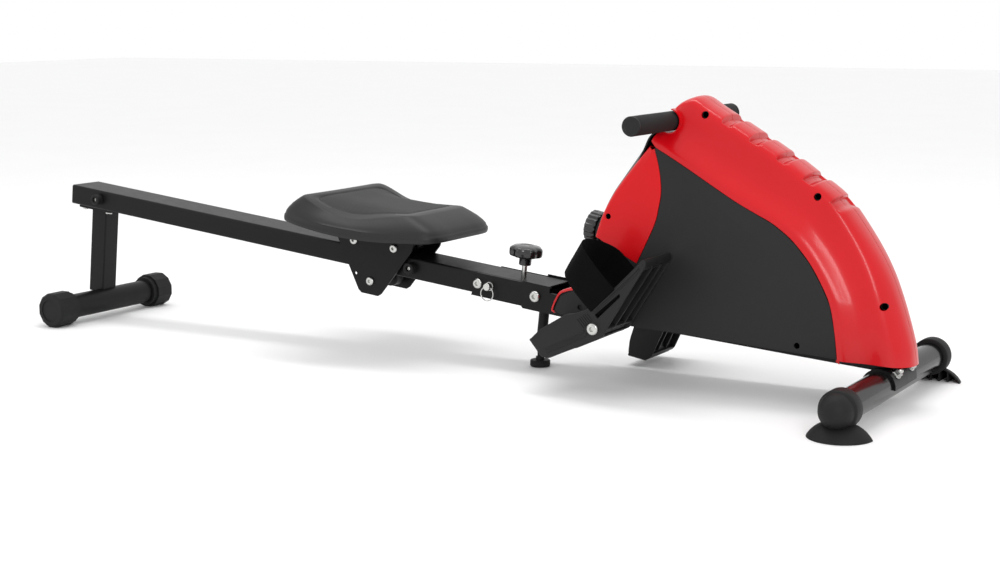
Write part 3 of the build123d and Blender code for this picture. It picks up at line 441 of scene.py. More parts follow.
class Finish:
    """A material under construction."""

    def __init__(self, name: str) -> None:
        self.material = bpy.data.materials.new(name)
        self.material.use_nodes = True
        self.tree = self.material.node_tree
        self.tree.nodes.clear()
        self.shader = self.tree.nodes.new("ShaderNodeBsdfPrincipled")
        output = self.tree.nodes.new("ShaderNodeOutputMaterial")
        self.tree.links.new(self.shader.outputs[0], output.inputs[0])

    def node(self, kind: str, settings: dict | None = None, inputs: dict | None = None, out: str | int = 0) -> Sock:
        """Adds any node.

        Args:
            kind: The node's type.
            settings: Its settings.
            inputs: Values or sockets for its inputs, by name or number.
            out: The output to return.

        Returns:
            The wanted output.
        """
        node = self.tree.nodes.new(kind)
        for key, value in (settings or {}).items():
            setattr(node, key, value)
        for key, value in (inputs or {}).items():
            self.put(node.inputs[key], value)
        return Sock(self, node.outputs[out])

    def put(self, socket: bpy.types.NodeSocket, value: "Sock | float | tuple") -> None:
        """Links or sets one input."""
        if isinstance(value, Sock):
            self.tree.links.new(value.socket, socket)
        else:
            socket.default_value = value

    def set(self, **values: "Sock | float | tuple") -> "Finish":
        """Sets the shader's sockets, with underscores for spaces in their names."""
        for key, value in values.items():
            name = key.replace("_", " ").title().replace("Ior", "IOR")
            self.put(self.shader.inputs[name], value)
        return self

    def places(self) -> Sock:
        """Gives the position on the object, in metres."""
        return self.node("ShaderNodeTexCoord", out="Object")

    def cloth_places(self) -> Sock:
        """Gives the position along the cloth, in its own map."""
        return self.node("ShaderNodeTexCoord", out="UV")

    def noise(self, scale: float, detail: float = 3.0, where: Sock | None = None) -> Sock:
        """Gives soft noise from 0 to 1."""
        inputs = {"Vector": where or self.places(), "Scale": scale, "Detail": detail}
        return self.node("ShaderNodeTexNoise", None, inputs, out="Fac")

    def cells(self, scale: float, feature: str = "F1", where: Sock | None = None) -> Sock:
        """Gives the distance to the middle of cells."""
        inputs = {"Vector": where or self.places(), "Scale": scale}
        return self.node("ShaderNodeTexVoronoi", {"feature": feature}, inputs, out="Distance")

    def mix(self, share: Sock | float, low: tuple | Sock, high: tuple | Sock) -> Sock:
        """Mixes two colours."""
        low, high = (colour if isinstance(colour, Sock) else (*colour, 1.0) for colour in (low, high))
        return self.node("ShaderNodeMix", {"data_type": "RGBA"}, {0: share, 6: low, 7: high}, out=2)

    def bumped(self, height: Sock, distance: float, strength: float = 1.0) -> "Finish":
        """Raises the surface by a height map, with its distance in millimetres."""
        bump = self.node("ShaderNodeBump", None,
                         {"Height": height, "Distance": distance * MILLIMETRE, "Strength": strength}, out="Normal")
        self.put(self.shader.inputs["Normal"], bump)
        return self


@dataclass(frozen=True)
class Moulded:
    """A moulded or painted finish: colour, gloss and the grain of its surface."""

    name: str
    dark: tuple[float, float, float]
    light: tuple[float, float, float]
    rough: float
    rough_change: float
    grain_size: float
    grain_depth: float
    coat: float = 0.0
    metal: float = 0.0
    shine: float = 0.5

    def make(self) -> bpy.types.Material:
        """Builds the material."""
        finish = Finish(self.name)
        patches = finish.noise(14.0, 4.0)
        wear = finish.noise(60.0, 5.0)
        grain = finish.noise(1000.0 / self.grain_size, 2.0)
        colour = finish.mix(patches, self.dark, self.light)
        finish.set(base_color=colour, roughness=self.rough + self.rough_change * (wear - 0.5), metallic=self.metal)
        finish.set(coat_weight=self.coat, coat_roughness=0.10, specular_ior_level=self.shine)
        finish.bumped(grain, self.grain_depth, 0.6)
        return finish.material


@dataclass(frozen=True)
class Pebbled:
    """A skin with fine rounded pebbles, as on a seat or a rubber foot."""

    name: str
    dark: tuple[float, float, float]
    light: tuple[float, float, float]
    rough: float
    pebble: float
    depth: float
    ribs: bool = False
    shine: float = 0.22

    def make(self) -> bpy.types.Material:
        """Builds the material."""
        finish = Finish(self.name)
        pebbles = finish.cells(1000.0 / self.pebble, "SMOOTH_F1")
        fine = finish.noise(1400.0, 2.0)
        height = 1 - pebbles + 0.3 * fine
        if self.ribs:
            parts = finish.node("ShaderNodeSeparateXYZ", None, {0: finish.places()}, out="Y")
            height = height * 0.3 + (parts * (2 * pi / 0.0042)).wave() * 0.5
        patches = finish.noise(9.0, 4.0)
        colour = finish.mix(patches, self.dark, self.light)
        finish.set(base_color=colour, roughness=self.rough + 0.1 * (patches - 0.5))
        finish.set(specular_ior_level=self.shine)
        finish.bumped(height, self.depth, 0.7)
        return finish.material


@dataclass(frozen=True)
class Woven:
    """Woven webbing, with its ribs running across the strap's own map, which is in millimetres."""

    name: str
    colour: tuple[float, float, float]
    lit: tuple[float, float, float]

    def make(self) -> bpy.types.Material:
        """Builds the material."""
        finish = Finish(self.name)
        where = finish.cloth_places()
        along = finish.node("ShaderNodeSeparateXYZ", None, {0: where}, out="X")
        across = finish.node("ShaderNodeSeparateXYZ", None, {0: where}, out="Y")
        warp = (across * (2 * pi / 1.6)).wave().size()
        weft = (along * (2 * pi / 2.2)).wave().size()
        threads = warp * weft
        fluff = finish.noise(900.0, 3.0)
        finish.set(base_color=finish.mix(threads * 0.6 + fluff * 0.3, self.colour, self.lit), roughness=0.88)
        finish.set(sheen_weight=0.03, sheen_roughness=0.4, specular_ior_level=0.05)
        finish.bumped(threads + 0.3 * fluff, 0.35, 0.8)
        return finish.material


class Coat(Enum):
    """The machine's finishes."""

    RED = Moulded("red_gloss_shell", (0.50, 0.0005, 0.004), (0.55, 0.001, 0.006), 0.30, 0.06, 1.6, 0.010,
                  coat=0.25, shine=0.25)
    LEAF = Moulded("red_leaf_panel", (0.56, 0.0003, 0.003), (0.60, 0.0006, 0.005), 0.40, 0.06, 1.2, 0.010,
                   coat=0.1, shine=0.22)
    CHARCOAL = Moulded("charcoal_panel", (0.015, 0.015, 0.015), (0.018, 0.018, 0.018), 0.60, 0.08, 0.7, 0.05,
                       shine=0.22)
    POWDER = Moulded("black_powder_coat", (0.004, 0.004, 0.004), (0.006, 0.006, 0.006), 0.40, 0.10, 0.9, 0.03,
                     shine=0.18)
    GLOSS = Moulded("black_gloss_enamel", (0.004, 0.004, 0.004), (0.006, 0.006, 0.006), 0.18, 0.06, 1.4, 0.01,
                    coat=0.12, shine=0.16)
    PLASTIC = Moulded("black_moulding", (0.009, 0.009, 0.009), (0.012, 0.012, 0.012), 0.46, 0.10, 0.6, 0.04,
                      shine=0.25)
    RUBBER = Moulded("black_rubber", (0.008, 0.008, 0.008), (0.012, 0.012, 0.012), 0.60, 0.12, 0.8, 0.05,
                     shine=0.2)
    KNOB = Moulded("black_gloss_knob", (0.005, 0.005, 0.005), (0.008, 0.008, 0.008), 0.30, 0.06, 0.9, 0.02,
                   coat=0.5, shine=0.4)
    ZINC = Moulded("bright_zinc", (0.46, 0.46, 0.45), (0.62, 0.62, 0.60), 0.24, 0.16, 0.5, 0.015, metal=1.0)
    STEEL = Moulded("plain_steel", (0.30, 0.30, 0.31), (0.42, 0.42, 0.42), 0.40, 0.2, 0.6, 0.02, metal=1.0)
    FOAM = Pebbled("grip_foam", (0.010, 0.010, 0.010), (0.014, 0.014, 0.014), 0.75, 1.1, 0.10)
    SEAT = Pebbled("seat_skin", (0.012, 0.012, 0.012), (0.016, 0.016, 0.016), 0.44, 1.0, 0.07, shine=0.3)
    SEAT_INSET = Pebbled("seat_inset_skin", (0.024, 0.024, 0.024), (0.032, 0.032, 0.032), 0.60, 1.2, 0.5, ribs=True)
    WEBBING = Woven("strap_webbing", (0.002, 0.002, 0.002), (0.005, 0.005, 0.005))


class Wardrobe:
    """Makes each finish once and dresses pieces with it."""

    def __init__(self) -> None:
        self.made: dict[Coat, bpy.types.Material] = {}

    def of(self, coat: Coat) -> bpy.types.Material:
        """Gives a finish's material."""
        if coat not in self.made:
            self.made[coat] = coat.value.make()
        return self.made[coat]

    def dress(self, piece: bpy.types.Object, coat: Coat) -> None:
        """Gives a piece one finish."""
        piece.data.materials.clear()
        piece.data.materials.append(self.of(coat))

    def dress_node(self, name: str, coat: Coat) -> None:
        """Gives a node of the frame one finish."""
        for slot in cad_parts[name].material_slots:
            slot.material = self.of(coat)

    def hand_in(self, piece: bpy.types.Object, coat: Coat, body: str, slot: str, *nodes: str) -> None:
        """Dresses a piece, sets it on its body and hides the nodes it stands for."""
        self.dress(piece, coat)
        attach(piece, body)
        if nodes:
            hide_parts(*nodes)
        LOG.info("piece %s rides on %s", piece.name, body)


# ---------------------------------------------------------------- housing
@dataclass
class Housing:
    """The drive's red and black shell, seen from its right side, with both halves mirrored copies."""

    half_width: float = HALF_WIDTH
    wall: float = 3.0
    notch_stations: tuple[float, ...] = (1493.0, 1543.0, 1592.0, 1640.0, 1690.0)
    notch_depth: float = 8.5
    crown: list[tuple[float, float, float, float]] = field(default_factory=lambda: [
        (1403, 481, 1378, 427), (1413, 492, 1386, 417), (1427, 499, 1402, 408), (1442, 500, 1420, 398),
        (1468, 484, 1448, 382), (1514, 457.5, 1492, 356), (1568, 425.5, 1532, 333), (1613, 397.5, 1568, 315),
        (1642, 377, 1595, 302), (1680, 351, 1620, 285), (1706, 325.5, 1638, 269), (1748, 268, 1662, 241),
        (1776, 219, 1682, 209), (1798, 163, 1698, 175), (1815, 107, 1707, 132), (1820, 74, 1713, 84.5)])
    ridge_section: tuple[Pair, ...] = (
        (0, 0), (14, 0.004), (28, 0.022), (37, 0.05), (42.5, 0.10), (45.5, 0.18), (47.5, 0.30), (50, 0.45),
        (55, 0.60), (63.5, 0.73), (71.5, 0.83), (75.8, 0.91), (77, 1.0))
    nose_section: tuple[Pair, ...] = (
        (0, 0), (11, 0.006), (22, 0.033), (35, 0.10), (45, 0.18), (51, 0.27), (54.5, 0.38), (57.5, 0.51),
        (62, 0.64), (68, 0.75), (73.5, 0.85), (76.3, 0.92), (77, 1.0))

    def crown_rows(self, steps: int = 26) -> list[tuple[float, float, float, float]]:
        """Gives the ridge and lower edge at even steps along the crown."""
        return catmull(self.crown, steps)

    def notch(self, x: float, across: float) -> float:
        """Gives how deep the scallops are at a station of the ridge.

        Args:
            x: The ridge's station.
            across: Distance from the middle plane.

        Returns:
            The depth in millimetres.
        """
        depth = 0.0
        for centre in self.notch_stations:
            ahead = x - centre
            if -2.2 < ahead < 0:
                depth = max(depth, smooth_step(1 + ahead / 2.2))
            elif 0 <= ahead < 8:
                depth = max(depth, 1.0)
            elif 8 <= ahead < 19:
                depth = max(depth, smooth_step(1 - (ahead - 8) / 11))
        reach = 1 - smooth_step((across - 36) / 8)
        return depth * reach * self.notch_depth

    def crown_point(self, row: tuple[float, float, float, float], index: float, u: Pair, v: Pair) -> Vector:
        """Gives one point of the crown's surface.

        Args:
            row: The ridge point and the lower edge point.
            index: How far along the crown the row is, from 0 to 1.
            u: Half-width and drop of the ridge's section.
            v: Half-width and drop of the nose's section.

        Returns:
            The point, on the right half.
        """
        share = smooth_step((index - 0.55) / 0.4)
        across, drop = blend_points(u, v, share)
        across = across * self.half_width / HALF_WIDTH
        x = row[0] + (row[2] - row[0]) * drop
        z = row[1] + (row[3] - row[1]) * drop
        reach = hypot(row[2] - row[0], row[3] - row[1])
        depth = self.notch(row[0], across)
        x += (row[2] - row[0]) / reach * depth
        z += (row[3] - row[1]) / reach * depth
        return at(x, -across, z)

    def crown_shell(self, side: int) -> bpy.types.Object:
        """Builds one half of the red crown, with its handle groove and screw wells cut."""
        rows_in = self.crown_rows()
        ridge = catmull(list(self.ridge_section), 4)
        nose = catmull(list(self.nose_section), 4)
        rows = []
        for count, row in enumerate(rows_in):
            along = count / (len(rows_in) - 1)
            points = [self.crown_point(row, along, u, v) for u, v in zip(ridge, nose)]
            edge = points[-1]
            points.append(edge + Vector((0, 2.5 * MILLIMETRE, 0)) + (edge - points[-3]).normalized() * 0.0002)
            points[0].y = -0.0005
            rows.append([mirrored(p, side) for p in points])
        tucked = []
        for point in rows[-1]:
            tucked.append(point + Vector((-0.003, -point.y * 0.05, 0.0005)))
        rows.append(tucked)
        shell = grid(f"crown_shell_{Side.label(side)}", rows, crease=28)
        thicken(shell, self.wall, offset=-1.0, crease=28)
        tools = [cross_bore(HANDLE_REST, GROOVE_RADIUS, 48),
                 block("way_out", at(1330, -BESIDE_HOUSING, 443), at(1401, BESIDE_HOUSING, 481))]
        tools += [side_bore(x, z, side, 12, 6.3) for x, z, _ in CROWN_WELLS]
        cut(shell, tools, crease=28)
        return shell


@dataclass
class HousingSides:
    """The housing's flat side panels, rear leaves, rear cover and lower tail."""

    half_width: float = HALF_WIDTH
    panel_edge: tuple[Pair, ...] = (
        (1384, 417), (1402, 406.8), (1420, 396.8), (1448, 380.8), (1492, 354.8), (1532, 331.8), (1568, 313.8),
        (1595, 300.8), (1619, 284.3), (1637, 268.3), (1661.2, 240), (1681.2, 207.6), (1697.3, 174.4),
        (1706.4, 132), (1711.4, 88))
    leaf_curve: tuple[Pair, ...] = ((1383.5, 414), (1393, 380), (1397, 344), (1393, 316), (1384, 283), (1352, 217))
    leaf_rear: tuple[Pair, ...] = ((1379, 412), (1343, 370), (1314, 333), (1294, 299), (1284, 274), (1278, 256))
    bottom: tuple[Pair, ...] = ((1644, 90), (1508, 98), (1444, 102), (1337, 107), (1214, 114))
    cover_profile: tuple[tuple[float, float, float], ...] = (
        (1386, 447, 1), (1368, 436, 4), (1350, 417, 12), (1330, 395, 20), (1304, 362, 25), (1284, 335, 26),
        (1268, 305, 24), (1259, 275, 20), (1257, 250, 16), (1260, 225, 10), (1266, 208, 3))

    def panel(self, side: int) -> bpy.types.Object:
        """Builds one charcoal side panel."""
        rear = [(1280, 252), (1278, 205), (1234, 163), (1203, 149), (1190, 122)]
        leaf = catmull(list(self.leaf_curve), 6)
        outline = list(reversed(self.panel_edge)) + leaf[1:] + rear + list(reversed(self.bottom))
        outer = self.half_width - 0.4
        low = [mirrored(at(x, -outer, z), side) for x, z in outline]
        high = [mirrored(at(x, -outer + 3.2, z), side) for x, z in outline]
        panel = slab(f"side_panel_{Side.label(side)}", low, high, 0.8)
        tools = [side_bore(x, z, side, 60, 5.2) for x, z, _ in PANEL_WELLS]
        cut(panel, [*tools, side_bore(*PEDAL_AXLE, side, 60, 10.6, 40)])
        return panel

    def leaf(self, side: int) -> bpy.types.Object:
        """Builds one red leaf, which wraps round the rear edge."""
        right = catmull(list(self.leaf_curve), 8)
        left = catmull(list(self.leaf_rear), 8)
        rows = []
        for count, (r, l) in enumerate(zip(right, left)):
            out = beside(left, count)
            inset = blend_points(r, l, 0.012)
            row = [(inset, self.half_width - 3.0), (inset, self.half_width - 0.4)]
            row += [(blend_points(inset, l, k / 8), self.half_width - 0.2 + 1.6 * sin(pi * k / 8)) for k in range(1, 8)]
            for angle in range(0, 91, 15):
                a = radians(angle)
                edge = (l[0] + out[0] * 9 * sin(a), l[1] + out[1] * 9 * sin(a))
                row.append((edge, self.half_width - 9 + 9 * cos(a)))
            row.append(((l[0] + out[0] * 9, l[1] + out[1] * 9), self.half_width - 20))
            rows.append([mirrored(at(p[0], -y, p[1]), side) for p, y in row])
        leaf = grid(f"leaf_{Side.label(side)}", rows, crease=50)
        thicken(leaf, 2.2, crease=50)
        x, z, _ = LEAF_WELL
        cut(leaf, [side_bore(x, z, side, 40, 5.2)], crease=50)
        return leaf

    def rear_cover(self) -> bpy.types.Object:
        """Builds the black crowned cover between the leaves."""
        profile = catmull(list(self.cover_profile), 6)
        rows = []
        for count, (x, z, bulge) in enumerate(profile):
            row = []
            out = beside(profile, count)
            for k in range(-16, 17):
                across = k / 16
                crown = 1 - abs(across) ** 2.6
                away = bulge * (crown - 1) + 0.5
                row.append(at(x + out[0] * away, 70 * across, z + out[1] * away))
            rows.append(row)
        cover = grid("rear_cover_shell", rows)
        thicken(cover, 2.5)
        cut(cover, [cross_bore(HANDLE_REST, GROOVE_RADIUS, 48)])
        return cover

    def cradle(self) -> bpy.types.Object:
        """Builds the half-round groove that the handle rests in."""
        x, z = HANDLE_REST
        radius = GROOVE_RADIUS + 0.1
        rows = []
        for angle in range(-118, 79, 7):
            a = radians(angle)
            rows.append([at(x + radius * cos(a), y, z + radius * sin(a)) for y in range(-60, 61, 20)])
        cradle = grid("handle_cradle", rows)
        thicken(cradle, 2.0, offset=1.0)
        slot = block("outlet", at(1405, -17, 455), at(1440, 17, 463))
        cut(cradle, [slot])
        return cradle

    def tail(self) -> bpy.types.Object:
        """Builds the low tail, open in the middle for the fork."""
        outline = rounded([(1214, 112.5), (1181, 119), (1199, 156), (1233, 167), (1275, 206), (1277, 252), (1300, 262),
                           (1330, 180), (1300, 110)], 9)
        width = self.half_width - 3.8
        low = [at(x, -width, z) for x, z in outline]
        high = [at(x, width, z) for x, z in outline]
        tail = slab("housing_tail", low, high, 4.0)
        cut(tail, [block("fork_room", at(1150, -48, 60), at(1243, 48, 149)),
                   block("beam_room", at(1150, -42, 60), at(1400, 42, 146)),
                   cross_bore(PEDAL_AXLE, 10.6, 40)])
        return tail

    def tail_edge(self, side: int) -> bpy.types.Object:
        """Builds the red rim round the tail's tip."""
        tip = [(1189, 117), (1183, 122), (1190, 140), (1200, 155), (1216, 162),
               (1233, 167.5), (1256, 188), (1275, 206)]
        line = catmull(tip, 4)
        rows = []
        for count, (x, z) in enumerate(line):
            out = [-value for value in beside(line, count)]
            row = []
            for angle in range(0, 91, 15):
                a = radians(angle)
                away = 5 * sin(a) - 4
                row.append(at(x + out[0] * away, -(self.half_width - 6 + 5.6 * cos(a)), z + out[1] * away))
            row.append(at(x + out[0], -50, z + out[1]))
            rows.append([mirrored(p, side) for p in row])
        edge = grid(f"tail_rim_{Side.label(side)}", rows)
        thicken(edge, 1.6)
        return edge

    def belly(self, side: int) -> bpy.types.Object:
        """Builds the narrow floor between a side panel and the beam."""
        line = [(1214, 113.5)] + list(reversed(self.bottom[:-1])) + [(1712, 86)]
        rows = []
        for x, z in catmull(line, 6):
            rows.append([mirrored(at(x, -y, z + lift), side)
                         for y, lift in ((76.6, 3), (76.2, 1.2), (75, 0.2), (60, 0.2), (42.5, 0.2), (42, 6))])
        belly = grid(f"belly_{Side.label(side)}", rows)
        thicken(belly, 2.0)
        return belly

    def well(self, name: str, x: float, z: float, face: float, side: int, radius: float = 5.0) -> bpy.types.Object:
        """Builds a screw well's cup with the screw in it.

        Args:
            name: The piece's name.
            x: Station of the well.
            z: Height of the well.
            face: Distance from the middle plane where the cup's rim starts.
            side: -1 for the right side, 1 for the left.
            radius: The well's radius in millimetres.

        Returns:
            The cup and screw in one object.
        """
        place = axis_frame(at(x, side * face, z), Vector((0, side, 0)))
        outer = radius + 1.2
        cup_profile = [(outer, 0), (outer, -14), (0.1, -14), (0.1, -12.5), (radius, -12.5), (radius, 0)]
        cup = lathe(name, cup_profile, place, 32)
        head_profile = [(0.1, -12), (3.6, -12), (3.6, -9.4), (2.9, -8.6), (1.2, -8.3), (0.9, -9.6), (0.1, -9.6)]
        head = lathe(name + "_head", head_profile, place, 24)
        return merge(name, [cup, head])


# ---------------------------------------------------------------- seat
@dataclass
class Seat:
    """The moulded seat on its carriage, wide at the rear, with a raised rim and an inset panel."""

    bottom: float = 48.6
    centre: Pair = (785.0, 0.0)
    outline: tuple[Pair, ...] = (
        (640, 0), (640, 76), (641, 124), (650, 150), (674, 160), (712, 162), (771, 158), (820, 150), (866, 139),
        (914, 120), (940, 106), (952, 88), (956, 62), (956, 30))

    def plan(self) -> list[Pair]:
        """Gives the base outline as along and across, once round."""
        left = list(self.outline)
        right = [(s, -y) for s, y in reversed(left[1:])]
        return catmull(left + [(956, 0)] + right, 8, closed=True)

    def rim(self) -> list[Pair]:
        """Gives the raised edge's outline, matched to the base outline."""
        half = [(669, 0), (668, 76), (668, 112), (678, 128), (706, 132), (734, 131), (770, 128), (806, 121),
                (840, 110), (870, 100), (888, 91), (896, 78), (898, 56), (898, 28)]
        right = [(s, -y) for s, y in reversed(half[1:])]
        return catmull(half + [(898, 0)] + right, 8, closed=True)

    @staticmethod
    def height(along: float, across: float) -> float:
        """Gives the raised edge's height above the rail, at a place on the seat."""
        middle = 91.0 + 4.0 * smooth_step((740 - along) / 70) - 2.0 * smooth_step((along - 820) / 70)
        waist = sin(pi * min(max((along - 672) / 224, 0), 1)) ** 1.2
        return middle - 21 * waist * smooth_step((abs(across) - 50) / 85)

    def droop(self, along: float) -> float:
        """Gives how far the skirt hangs below its ends, at a place along the seat."""
        return 11.0 * sin(pi * min(max((along - 640) / 322, 0), 1)) ** 1.2

    def rings(self) -> list[list[Vector]]:
        """Gives the cushion's rings from its underside to its middle."""
        plan = self.plan()
        rim = self.rim()
        rings = []
        for share, above in ((0.35, 1.0), (0.12, 0.5), (0.02, 0.0), (0.0, 2.0), (-0.012, 6.0), (0.0, 10.5),
                             (0.035, 12.0), (0.055, 13.4)):
            ring = [blend_points(p, q, share) for p, q in zip(plan, rim)]
            hang = smooth_step((0.12 - share) / 0.1)
            rings.append([on_rail(s, y, self.bottom + above - hang * self.droop(s)) for s, y in ring])
        for share, lift in ((0.09, 0.12), (0.20, 0.30), (0.42, 0.56), (0.68, 0.78), (0.90, 0.945), (0.97, 0.992),
                            (1.0, 1.0)):
            ring = []
            for p, q in zip(plan, rim):
                s, y = blend_points(p, q, share)
                top = self.height(q[0], q[1])
                foot = self.bottom + 14 - self.droop(p[0])
                ring.append(on_rail(s, y, foot + (top - foot) * lift))
            rings.append(ring)
        inner = ((0.05, 0.4), (0.10, 0.2), (0.165, -0.2), (0.175, -2.2), (0.19, -2.4), (0.204, -1.0), (0.30, -1.4),
                 (0.45, -1.8), (0.62, -2.2), (0.80, -2.4), (0.93, -2.5))
        for share, sink in inner:
            ring = []
            for q in rim:
                s, y = blend_points(q, self.centre, share)
                ring.append(on_rail(s, y, self.height(s, y) + sink))
            rings.append(ring)
        return rings

    def cushion(self) -> bpy.types.Object:
        """Builds the cushion's skin as one closed surface."""
        return grid("seat_cushion", self.rings(), closed=True, caps=True, crease=60)

    def board(self) -> bpy.types.Object:
        """Builds the board that the cushion is fixed to."""
        outline = [blend_points(p, self.centre, 0.2) for p in self.plan()[::4]]
        low = [on_rail(s, y, 37.1) for s, y in outline]
        high = [on_rail(s, y, 48.3) for s, y in outline]
        return slab("seat_board", low, high, 1.5)

    def dress(self, wardrobe: Wardrobe) -> None:
        """Builds the seat and hands it in, with the inset panel in its own skin."""
        wardrobe.hand_in(self.board(), Coat.PLASTIC, "seat", "frame_black", "seat_base")
        cushion = self.cushion()
        wardrobe.hand_in(cushion, Coat.SEAT, "seat", "seat_cover", "seat_pad")
        cushion.data.materials.append(wardrobe.of(Coat.SEAT_INSET))
        inset = 20
        width = len(self.plan())
        for polygon in cushion.data.polygons:
            if min(polygon.vertices) // width >= inset:
                polygon.material_index = 1


# ---------------------------------------------------------------- pedals
@dataclass
class Pedal:
    """One pedal with its strap, built in its own frame: u to the toe, w square to the footbed."""

    side: int
    pitch: float
    axle_x: float = PEDAL_AXLE[0]
    axle_z: float = PEDAL_AXLE[1]
    inner: float = 88.0
    outer: float = 190.0
    wall: tuple[Pair, ...] = (
        (-112, 24), (-105, 14), (-4, -18), (6, -21), (17, -16), (142, 18), (146, 28), (24, 27), (-12, 41), (-25, 50),
        (-82, 61), (-112, 60))

    def place(self, u: float, y: float, w: float) -> Vector:
        """Gives a point from the pedal's own frame; y is the distance from the middle plane."""
        p = radians(self.pitch)
        x = self.axle_x + u * cos(p) - w * sin(p)
        z = self.axle_z + u * sin(p) + w * cos(p)
        return at(x, self.side * y, z)

    def plate(self, name: str, outline: list[Pair], low: float, high: float, bevel: float) -> bpy.types.Object:
        """Makes a plate of the pedal between two distances from the middle plane."""
        faces = [[self.place(u, y, w) for u, w in outline] for y in (low, high)]
        return slab(name, *faces, bevel)

    def body(self) -> bpy.types.Object:
        """Builds the moulded footbed with its walls, ribs, treads and heel cup."""
        outline = rounded(list(self.wall), 9)
        walls = []
        window = [(18, 8), (76, 9.5), (79, 15), (18, 16)]
        for low, high in ((self.outer - 4.5, self.outer), (self.inner, self.inner + 4.5)):
            wall = self.plate("wall", outline, low, high, 1.3)
            cut(wall, [self.plate("slot", window, low - 8, high + 8, 0)])
            walls.append(wall)
        parts = walls
        bed = rounded([(-110, 27), (-104, 21), (-20, 20), (20, 20), (138, 21), (146, 29), (141, 31), (24, 26),
                       (-30, 26), (-96, 29)], 4)
        parts.append(self.plate("bed", bed, self.inner + 4, self.outer - 4, 0.8))
        toe = rounded([(132, 18), (144, 18), (151, 24), (150, 31), (136, 31)], 4)
        parts.append(self.plate("toe", toe, self.inner + 1, self.outer - 1, 1.2))
        heel = rounded([(-114, 24), (-107, 20), (-105, 44), (-108, 61), (-113, 61)], 2.5)
        parts.append(self.plate("heel", heel, self.inner + 2, self.outer - 2, 1.0))
        for k in range(9):
            u = -84 + 24 * k
            tread = rounded([(u - 3.4, 25.5), (u + 3.4, 25.5), (u + 2.4, 28.6), (u - 2.4, 28.6)], 0.8, 3)
            parts.append(self.plate("tread", tread, self.inner + 10, self.outer - 10, 0.5))
        for y in (self.inner + 34, self.outer - 34):
            rib = [(10, -17), (20, -15), (140, 16), (140, 22), (10, 22)]
            parts.append(self.plate("rib", rib, y - 1.8, y + 1.8, 0.6))
        heel_rib = [(-98, 16), (-8, -14), (-8, 21), (-98, 21)]
        for y in (self.inner + 34, self.outer - 34):
            parts.append(self.plate("heel_rib", heel_rib, y - 1.8, y + 1.8, 0.6))
        for u, w in ((16, -16), (-4, -18), (-104, 15)):
            parts.append(self.plate("bar", rounded([(u - 3, w), (u + 3, w), (u + 3, w + 7), (u - 3, w + 7)], 2, 3),
                                    self.inner + 4, self.outer - 4, 0.6))
        axis = Vector((0, self.side, 0))
        face = at(self.axle_x, self.side * self.outer, self.axle_z)
        hub = [(6.2, -1), (6.2, 0.2), (13.4, 0.2), (14.4, -0.6), (14.4, -4)]
        parts.append(lathe("boss", [(6.2, -100), *hub[1:], (14.4, -100)], axis_frame(face, axis), 40))
        parts += self.lines()
        return merge(f"pedal_moulding_{Side.label(self.side)}", parts)

    def lines(self) -> list[bpy.types.Object]:
        """Builds the fine raised lines and the ribbed patch on the outer wall."""
        parts = []
        y = self.outer
        for w_shift in (0.0, 7.0):
            route = [(-98, 22 + w_shift), (-30, 2 + w_shift), (-16, 1 + w_shift)]
            parts.append(self.bead(route, y))
            upper = [(20, 22 - w_shift * 0.4), (120, 24 - w_shift * 0.5), (134, 26 - w_shift * 0.5)]
            parts.append(self.bead(upper, y))
        for k in range(6):
            u = -14 + 4.2 * k
            parts.append(self.bead([(u, 12), (u, 30 - 0.6 * k)], y))
        return parts

    def bead(self, route: list[Pair], y: float) -> bpy.types.Object:
        """Builds one half-round raised line along a route on the outer wall."""
        line = catmull(route, 6)
        rows = []
        for count, (u, w) in enumerate(line):
            across = [-value for value in beside(line, count)]
            row = []
            for angle in range(0, 360, 45):
                a = radians(angle)
                row.append(self.place(u + across[0] * 1.5 * cos(a), y + 1.3 * sin(a), w + across[1] * 1.5 * cos(a)))
            rows.append(row)
        return grid("bead", rows, closed=True, caps=True)

    def strap(self) -> bpy.types.Object:
        """Builds the webbing loop over the foot, with its own cloth map."""
        route = [(46, 184, 12, 0), (46, 189.6, 25, 0), (46, 193, 45, 1), (46, 193.6, 75, 4), (46, 191.5, 98, 8),
                 (46, 186, 110, 9), (46.5, 174, 118, 9), (47, 152, 117, 9), (49, 130, 109, 8.5),
                 (51, 112, 97, 7), (52, 98.5, 84, 5), (52, 94, 66, 3), (51, 92.6, 44, 1), (50, 94, 27, 0),
                 (50, 98, 15, 0)]
        return self.band(f"foot_strap_{Side.label(self.side)}", route, 60.0, 1.7)

